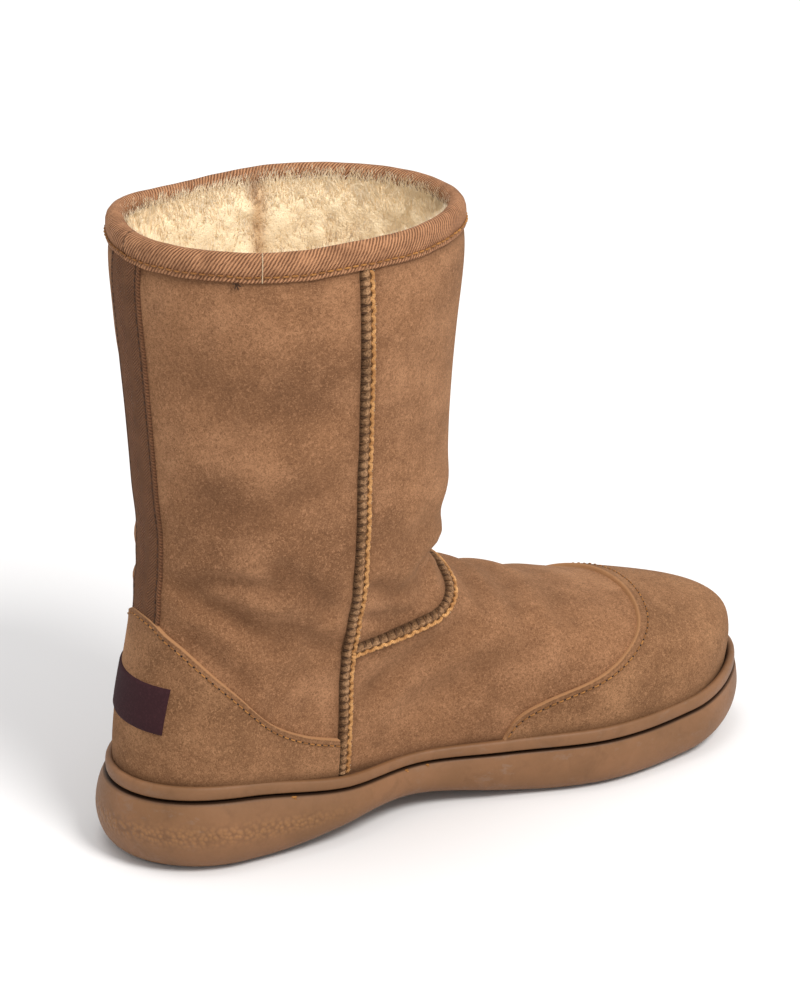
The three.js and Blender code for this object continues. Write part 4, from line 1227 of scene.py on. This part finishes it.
# Label at the back of the heel, left bare
def label():
    half = LABEL_WIDTH / 2
    across = np.concatenate([[-half], np.linspace(-half + 0.3, half - 0.3, 41), [half]])
    up = np.array([-0.5, -0.485, -0.44, -0.25, 0, 0.25, 0.44, 0.485, 0.5]) * LABEL_HEIGHT
    z = LABEL_RISE + up
    rim = np.clip((LABEL_HEIGHT / 2 - np.abs(up)) / 0.8, 0, 1)
    columns = []
    for offset in across:
        edge = min(max(half - abs(offset), 0) / 0.3, 1)
        lift = OVERLAY_THICKNESS + GAP + LABEL_THICKNESS * np.sqrt(rim * edge)
        columns.append(surface(*back_place(offset, z), lift))
    points, normals = (np.stack(grid, 1) for grid in zip(*columns))
    part = sheet(points, normals, uv=uv_grid(across, z[:, None]))
    piece("woven_label", [part], LABEL, ["heel_label"])


label()


# Sole
def sole_point(turn):
    side, q = side_of(turn)
    share, full = station(q, *SOLE_CAPS)
    half = column(SOLE_PLAN, "half", share) * full
    return np.stack([sole_x(share), BALL_WIDTH * (column(SOLE_PLAN, "centre", share) + side * half)], -1)


def sole_ring(turn, inset, height=np.zeros_like):
    """A ring round the sole. Its inset and height are functions of the share of the sole's length."""
    nudge = 4e-3
    run = unit(sole_point(turn + nudge) - sole_point(turn - nudge))
    at = sole_point(turn)
    depth = inset(sole_share(at[..., 0]))
    x, y = at[..., 0] + run[..., 1] * depth, at[..., 1] - run[..., 0] * depth
    return np.stack([x, y, height(sole_share(x))], -1)


def inwards(ring, share):
    """A ring drawn in towards its middle line."""
    across = ring[(-np.arange(len(ring))) % len(ring)]
    return mix(ring, (ring + across) / 2, share)


def soft_side(turn):
    """The side of the sole from -1 to 1, changing smoothly round heel and toe."""
    side, q = side_of(turn)
    _, full = station(q, *SOLE_CAPS)
    return side * full


sole_turns = evenly(sole_point(FINE_TURNS), FINE_TURNS, ring_shares(360))
round_side = soft_side(sole_turns)


def underside(x, y, rise):
    """A place on the tread, at a height above the faces of the lugs."""
    share = sole_share(x)
    middle = BALL_WIDTH * column(SOLE_PLAN, "centre", share)
    half = np.maximum(BALL_WIDTH * column(SOLE_PLAN, "half", share), 1)
    return tread(share, np.clip((y - middle) / half, -1, 1)) + rise


def smooth_outline(corners, rounds=3):
    """A closed outline with its corners rounded."""
    points = np.array(corners, float) * [SOLE_LENGTH / 100, BALL_WIDTH / 100] + [sole_x(0), 0]
    for _ in range(rounds):
        following = np.roll(points, -1, axis=0)
        length = np.linalg.norm(following - points, axis=1, keepdims=True)
        cut = np.minimum(0.25, 1.6 / length)
        points = np.stack([mix(points, following, cut), mix(points, following, 1 - cut)], 1).reshape(-1, 2)
    return points


def area(outline):
    """Twice the area inside an outline, above 0 if it runs against the clock."""
    x, y = outline.T
    return np.sum(x * np.roll(y, -1) - np.roll(x, -1) * y)


# Steps up a lug: inset, rise above its face, painted shade, and how pebbled
LUG_STEPS = [
    (-0.35, LUG_HEIGHT + 0.4, 0.9, 0), (-0.3, LUG_HEIGHT - 0.1, 0.7, 0), (0.05, LUG_HEIGHT * 0.5, 0.15, 0),
    (0.2, 0.35, 0, 0), (0.45, 0.08, 0, 0), (0.8, 0, 0, 0), (1.25, 0.1, 0, 0.2), (1.6, 0.25, 0.1, 1),
    (2.0, 0.25, 0, 1),
]
LUG_FACE = 0.25
SAFE_INSET = 0.15


def lug(corners):
    """One lug. Past a small inset its rings are drawn towards the middle, so that they don't cross."""
    outline = smooth_outline(corners)
    if area(outline) < 0:
        outline = outline[::-1]
    run = unit(np.roll(outline, -1, axis=0) - np.roll(outline, 1, axis=0))
    inward = np.stack([-run[:, 1], run[:, 0]], -1)
    middle = outline.mean(0)
    count = len(outline)
    rings = []
    for inset, rise, _, _ in LUG_STEPS:
        ring = outline + inward * min(inset, SAFE_INSET)
        ring = ring + unit(middle - ring) * max(inset - SAFE_INSET, 0)
        rings.append(np.column_stack([ring, underside(ring[:, 0], ring[:, 1], rise)]))
    part = sheet(np.stack(rings), DOWN, True)
    verts = np.concatenate([*rings, [[*middle, float(underside(*middle, LUG_FACE))]]])
    last = (len(rings) - 1) * count + np.arange(count)
    fan = np.stack([last, np.roll(last, -1), np.full(count, len(verts) - 1)], -1)
    _, _, painted_shade, pebbled = np.repeat(LUG_STEPS, count, axis=0).T
    return dict(
        verts=verts,
        faces=[part["faces"], outward(verts, fan, DOWN)],
        tone=np.append(painted_shade, 0),
        mark=np.append(pebbled, 1),
    )


TREAD_SHARES = (0.999, 0.9, 0.8, 0.7, 0.6, 0.5, 0.4, 0.3, 0.2, 0.1, 0.04, 0.0)
# Steps of the border round the tread: inset, rise above the faces of the lugs, and painted shade
BORDER_STEPS = [
    (1.1, LUG_HEIGHT, 0), (0.75, LUG_HEIGHT * 0.93, 0.35), (0.35, LUG_HEIGHT * 0.7, 0.35),
    (0.1, BORDER_RISE + 0.3, 0), (-0.25, BORDER_RISE + 0.05, 0), (-0.9, BORDER_RISE, 0),
]
# Steps up the wall of the outsole, and where the pebbled band of the heel lies
WALL_UPS = [
    0, 0.03, 0.06, 0.1, 0.15, 0.2, 0.26, 0.33, 0.4, 0.48, 0.56, 0.64, 0.72, 0.8, 0.88, 0.94, 0.97, 1.0,
]
HEEL_BAND = 0.56
# The blank frame under the arch
FRAME_X = (sole_x(0.337), sole_x(0.403))
FRAME_Y = (-14.0, 21.0)
FRAME_SECTION = [(-0.75, -0.3), (-0.5, 0.4), (-0.25, 0.55), (0.25, 0.55), (0.5, 0.4), (0.75, -0.3)]


def arch_frame():
    """Four bars that stand out from the sole."""
    (x0, x1), (y0, y1) = FRAME_X, FRAME_Y
    corners = [(x0, y0), (x1, y0), (x1, y1), (x0, y1), (x0, y0)]
    bars = []
    for (ax, ay), (bx, by) in zip(corners, corners[1:]):
        k = np.linspace(-0.02, 1.02, 14)
        x, y = mix(ax, bx, k), mix(ay, by, k)
        centre = np.column_stack([x, y, underside(x, y, LUG_HEIGHT)])
        down = np.broadcast_to(DOWN, centre.shape)
        bars.append(sweep(centre, down, frames(centre, down)[1], FRAME_SECTION))
    return bars


def outsole():
    rings, tones, marks = [], [], []
    heel_band = 1 - smoothstep(sole_share(sole_point(sole_turns)[:, 0]), 0.22, 0.34)

    def border(share):
        return rounding(share) * WALL_PROFILE["roll"][0] + BORDER_WIDTH

    def add(ring, tone=0.0, mark=0.0):
        rings.append(ring)
        tones.append(np.broadcast_to(tone, len(sole_turns)))
        marks.append(np.broadcast_to(mark, len(sole_turns)))

    edge = sole_ring(sole_turns, lambda s: border(s) + 1.2)
    for share in TREAD_SHARES:
        ring = inwards(edge, share)
        ring[:, 2] = underside(ring[:, 0], ring[:, 1], LUG_HEIGHT)
        # The recessed floor between the lugs is painted a little darker: painted shade
        add(ring, tone=0.12)
    for inset, rise, tone in BORDER_STEPS:
        ring = sole_ring(sole_turns, lambda s: border(s) + inset)
        ring[:, 2] = tread(sole_share(ring[:, 0]), round_side) + rise
        add(ring, tone)
    for up in WALL_UPS:
        roll, out = (float(through(WALL_PROFILE["up"], WALL_PROFILE[name], up)) for name in ("roll", "flare"))
        ring = sole_ring(sole_turns, lambda s: rounding(s) * roll + flare(s) * out)
        at = sole_share(ring[:, 0])
        ring[:, 2] = mix(tread(at, round_side) + BORDER_RISE, rim_base(at), up)
        # The top of the wall, at the groove, is painted darker: painted shade
        add(ring, tone=0.5 if up == 1 else 0.0, mark=0.8 * bell(up - HEEL_BAND, 0.13) * heel_band)
    # The groove under the midsole is painted dark: painted shade
    for inset in (1.0, 6.0):
        add(sole_ring(sole_turns, lambda s: flare(s) * 0.8 + inset, rim_base), tone=1.0)
    verts = np.stack(rings)
    body = sheet(verts, unit(verts - verts.mean((0, 1))), True, tone=np.stack(tones), mark=np.stack(marks))
    lugs = [lug(corners) for corners in LUGS.values()]
    piece("gum_outsole", [body] + lugs + arch_frame(), GUM, ["outsole"])


outsole()

# Steps up the midsole: share of its height, inset and painted shade
MIDSOLE_STEPS = [
    (0.0, 3.4, 1.0), (0.0, 2.4, 1.0), (0.06, 2.3, 1.0), (0.1, 1.6, 0.9), (0.13, 0.8, 0.6), (0.17, 0.35, 0.15),
    (0.26, 0.12, 0), (0.5, 0.0, 0), (0.65, 0.02, 0), (0.8, 0.18, 0), (0.9, 0.45, 0), (0.96, 0.85, 0),
    (1.0, 1.5, 0.05), (1.0, 2.4, 0.25), (0.93, 3.2, 0.8), (0.8, 3.8, 1.0), (0.6, 4.6, 1.0),
]


def midsole():
    rings = []
    for up, inset, _ in MIDSOLE_STEPS:
        def height(share):
            return mix(rim_base(share) + GAP, rim_top(share), up)

        rings.append(sole_ring(sole_turns, lambda s: flare(s) + inset, height))
    rings.append(sole_ring(sole_turns, lambda s: flare(s) + 8.0, lambda s: footbed(s) - 0.2))
    verts = np.stack(rings)
    # Painted shade in the groove at its foot and where the upper sits on it; the bed inside is a little
    # darker
    tone = np.broadcast_to(np.array([step[2] for step in MIDSOLE_STEPS] + [1.0])[:, None], verts.shape[:2])
    body = sheet(verts, unit((verts - verts.mean((0, 1))) * [1, 1, 3]), True, tone=tone)
    bed = sheet(np.stack([inwards(rings[-1], share) for share in (0, 0.5, 0.999)]), UP, True, tone=0.3)
    piece("gum_midsole", [body, bed], GUM, ["midsole"])


midsole()


def moulding_flash():
    """Specks of rubber left hanging in the groove, on the inner side."""
    turn = np.array([1.6955, 1.5815, 1.562])
    reach = np.array([1.5, 1.0, 0.8])[:, None]

    def lip(t, inset):
        return sole_ring(t, lambda s: flare(s) * 0.8 + inset, lambda s: rim_base(s) - 0.1)

    at = lip(turn, 0.1)
    go = unit(lip(turn - 0.003, 0.1) - at)
    out = unit(lip(turn, 0) - lip(turn, 1))
    hanging = at + go * 0.5 + DOWN * reach * 1.1 + out * 0.3
    parts = [
        threads(at - go * reach, at + go * reach * 0.7, out, 0.42, 0.35, [0.9, 0.6, 0.7]),
        threads(at - go * 0.2, hanging, out, 0.38, 0.2, [0.5, 0.9, 0.4]),
    ]
    piece("moulding_flash", parts, BROWN)


moulding_flash()

# Fleece inside
PILE = 9.0
PILE_TOP = 255.5
STRAND_TOP, STRAND_REACH = 255.0, 108
LIP_HEIGHTS = (247, 255.6)
STRANDS_IN_HALF, STRANDS_IN_LIP = 50000, 11000
STRAND_WIDTH, STRAND_LENGTH = 0.17, 5.6
INSOLE_THICKNESS = 7.5


def lumps(points, size, amount):
    """Rolling ups and downs of the pile."""
    x, y, z = np.moveaxis(points / size, -1, 0)
    a = np.sin(x + 1.3 * np.sin(z * 0.8))
    b = np.sin(y * 1.1 + 1.7 * np.sin(x * 0.7 + 2))
    c = np.sin(z * 0.9 + 1.1 * np.sin(y + 1))
    return amount * (a * b + b * c + c * a) / 2


def pile_depth(base):
    """How far the mass of the pile stands in from the hide: it swells up just under the binding."""
    down = PILE_TOP - base[..., 2]
    return 0.6 + PILE * 0.72 * np.sqrt(smoothstep(down, 0, 13)) + 0.8 * smoothstep(down, 30, 60)


def seam_shadow(points):
    """The parting of the pile over the outer side seam."""
    return bell(bearing(points) - 0.57, 0.022)


def lining():
    turn, v = np.meshgrid(even_turns(280), even_heights(150, 0.3, float(height_v(1.5, PILE_TOP))))
    base, normals = surface(turn, v, -UPPER_WALL)
    full = smoothstep(PILE_TOP - base[..., 2], 1, 12)
    thick = pile_depth(base) + full * (lumps(base, 3.1, 0.8) + lumps(base + 9, 1.3, 0.4))
    uv = uv_grid(turn * 300, 0.3)
    part = sheet(base - normals * thick[..., None], -normals, True, uv=uv, tone=seam_shadow(base) * 0.8)
    piece("fleece_lining", [part], WOOL)


# Numbers that scatter the lean of the locks
LOCK_SIZE = np.array([4.5, 4.5, 7.0])
LOCK_SCATTER = [((12.9898, 78.233, 37.719), 43758.5453), ((39.346, 11.135, 83.155), 24634.6345)]


def strands(roots, inward, length, width, rise, tone, mark):
    """Tapering ribbons of wool from their roots, in locks that lean together."""
    n = len(roots)
    cell = np.floor(roots / LOCK_SIZE)
    turn, tilt = (np.mod(np.sin(cell @ np.array(by)) * far, 1) for by, far in LOCK_SCATTER)
    lean = np.stack([np.cos(turn * 6.283), np.sin(turn * 6.283), tilt - 0.5], -1)
    lean = lean - inward * np.sum(lean * inward, -1, keepdims=True)
    noise = rng.normal(0, 1, (n, 3))
    upward = UP * rise[:, None]
    first = unit(inward * 0.55 + lean * 0.3 + noise * 0.16 + upward)
    second = unit(upward * 0.8 + inward * 0.25 + lean * 0.5 + noise[:, ::-1] * 0.3)
    side = unit(np.cross(first, inward) + rng.normal(0, 0.22, (n, 3)))
    size = length[:, None] * rng.uniform(0.75, 1.15, (n, 1))
    middle = roots + first * size * 0.55
    tip = middle + second * size * 0.45
    wide, thin = side * width, side * width * 0.7
    verts = np.stack([roots - wide, roots + wide, middle - thin, middle + thin, tip], 1)
    base = np.arange(n)[:, None] * 5
    uv = np.zeros((n, 5, 2))
    uv[:, :, 1] = [0.1, 0.1, 0.6, 0.6, 1.0]
    faces = [base + [0, 1, 3, 2], base + [2, 3, 4]]
    return dict(verts=verts, faces=faces, uv=uv, tone=np.repeat(tone, 5), mark=np.repeat(mark, 5))


def pile(name, shares, heights, rise, length):
    """A field of pile, at shares of the way round the shaft and at heights."""
    turn = ring_arc(shares, 11.5)
    base, normals = surface(turn, height_v(turn, heights), -UPPER_WALL)
    roots = base - normals * (pile_depth(base) * rng.uniform(0.3, 0.95, len(turn)))[:, None]
    down = STRAND_TOP - base[:, 2]
    # A darker patch deeper down, towards the front of the outer side; shadow is a painted shadow at the side
    # seam
    darker_patch = smoothstep(down, 12, 36) * bell(bearing(base) - 0.84, 0.16) * 0.6
    shadow = seam_shadow(base)
    tone = np.maximum(darker_patch, shadow * 0.8)
    mark = (1 - smoothstep(down, 2, 14)) * (1 - shadow)
    part = strands(roots, -normals, length, STRAND_WIDTH, rise, tone, mark)
    piece(name, [part], WOOL, smooth=False)


def all_pile():
    count = STRANDS_IN_HALF
    for name, first in (("fleece_pile_outer", 0.0), ("fleece_pile_inner", 0.5)):
        shares = first + 0.5 * rng.uniform(0, 1, count)
        heights = STRAND_TOP - STRAND_REACH * rng.uniform(0, 1, count) ** 1.15
        pile(name, shares, heights, rng.uniform(1.2, 2.2, count), np.full(count, STRAND_LENGTH))
    count = STRANDS_IN_LIP
    shares = rng.uniform(0, 1, count)
    heights = rng.uniform(*LIP_HEIGHTS, count)
    length = rng.uniform(3.0, 4.6, count)
    pile("fleece_lip", shares, heights, rng.uniform(1.1, 2.0, count), length)


lining()
all_pile()


def insole():
    edge = surface(even_turns(200), 0.6, -UPPER_WALL - 1)[0]
    rings = []
    for share in np.linspace(0, 0.999, 44):
        ring = inwards(edge, share)
        top = footbed(sole_share(ring[:, 0])) + INSOLE_THICKNESS
        ring[:, 2] = top + lumps(ring, 3.3, 0.8) * min(1, share * 8)
        rings.append(ring)
    verts = np.stack(rings)
    part = sheet(verts, UP, True, uv=np.broadcast_to([0, 0.4], verts.shape[:2] + (2,)), tone=0.15)
    piece("fleece_insole", [part], WOOL, ["insole"])


insole()


# Floor, lights and camera
FLOOR_REACH = 9.0
FLOOR_DROP = 0.0004


def stage():
    mesh = bpy.data.meshes.new("floor")
    corners = [(x * FLOOR_REACH, y * FLOOR_REACH, 0) for x, y in ((-1, -1), (1, -1), (1, 1), (-1, 1))]
    mesh.from_pydata(corners, [], [(0, 1, 2, 3)])
    floor = bpy.data.objects.new("floor", mesh)
    floor.location.z = -FLOOR_DROP
    bpy.context.scene.collection.objects.link(floor)
    n = Nodes("floor_white")
    away = n.add("ShaderNodeVectorMath", operation="LENGTH")
    n.link(n.object, away.inputs[0])
    # Painted light: the floor is painted lighter away from the boot, to make up for the lamps' falloff
    color = n.blend(tint("e6e5e5"), tint("ffffff"), n.remap(away.outputs["Value"], 0.3, 1.5))
    n.finish(color, 0.9, Specular_IOR_Level=0.0)
    mesh.materials.append(n.material)
    floor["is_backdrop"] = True


def area_light(name, place, aim, size, power, color=(1, 1, 1)):
    data = bpy.data.lights.new(name, "AREA")
    data.shape = "DISK"
    data.size = size
    data.energy = power
    data.color = color
    obj = bpy.data.objects.new(name, data)
    obj.location = place
    obj.rotation_euler = (Vector(aim) - Vector(place)).to_track_quat("-Z", "Y").to_euler()
    bpy.context.scene.collection.objects.link(obj)


stage()
area_light("key", (0.35, -1.75, 2.15), (-0.03, 0, 0.13), size=1.0, power=60, color=(1.0, 0.985, 0.965))
area_light("top", (-0.3, 0.2, 2.4), (-0.03, 0, 0.1), size=1.3, power=12)
world = bpy.data.worlds.new("studio")
bpy.context.scene.world = world
world.use_nodes = True
world.node_tree.nodes["Background"].inputs["Color"].default_value = (1, 1, 1, 1)
world.node_tree.nodes["Background"].inputs["Strength"].default_value = 0.78
bpy.context.scene.view_settings.view_transform = "Standard"

PHOTO_AZIMUTH, PHOTO_ELEVATION = math.radians(-27.7), math.radians(22.36)
PHOTO_TARGET = Vector((-0.0725, 0, 0.13))
PHOTO_DISTANCE = 1.384
PHOTO_FOCAL = 3450.0
PHOTO_WIDTH = 800
PHOTO_MIDDLE = Vector((-0.012, 0, 0.126))


def camera():
    level = math.cos(PHOTO_ELEVATION)
    x, y = math.sin(PHOTO_AZIMUTH) * level, -math.cos(PHOTO_AZIMUTH) * level
    place = PHOTO_TARGET + Vector((x, y, math.sin(PHOTO_ELEVATION))) * PHOTO_DISTANCE
    data = bpy.data.cameras.new("camera")
    data.sensor_fit = "HORIZONTAL"
    data.sensor_width = 36
    obj = bpy.data.objects.new("camera", data)
    bpy.context.scene.collection.objects.link(obj)
    obj.location = place
    obj.rotation_euler = (PHOTO_MIDDLE - place).to_track_quat("-Z", "Y").to_euler()
    data.lens = PHOTO_FOCAL * data.sensor_width / PHOTO_WIDTH
    data.clip_end = 40
    bpy.context.scene.camera = obj


camera()

as_lists = lambda bounds: [[float(c) for c in corner] for corner in bounds]
{"cad": as_lists(cad_box), "visual": as_lists(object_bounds())}
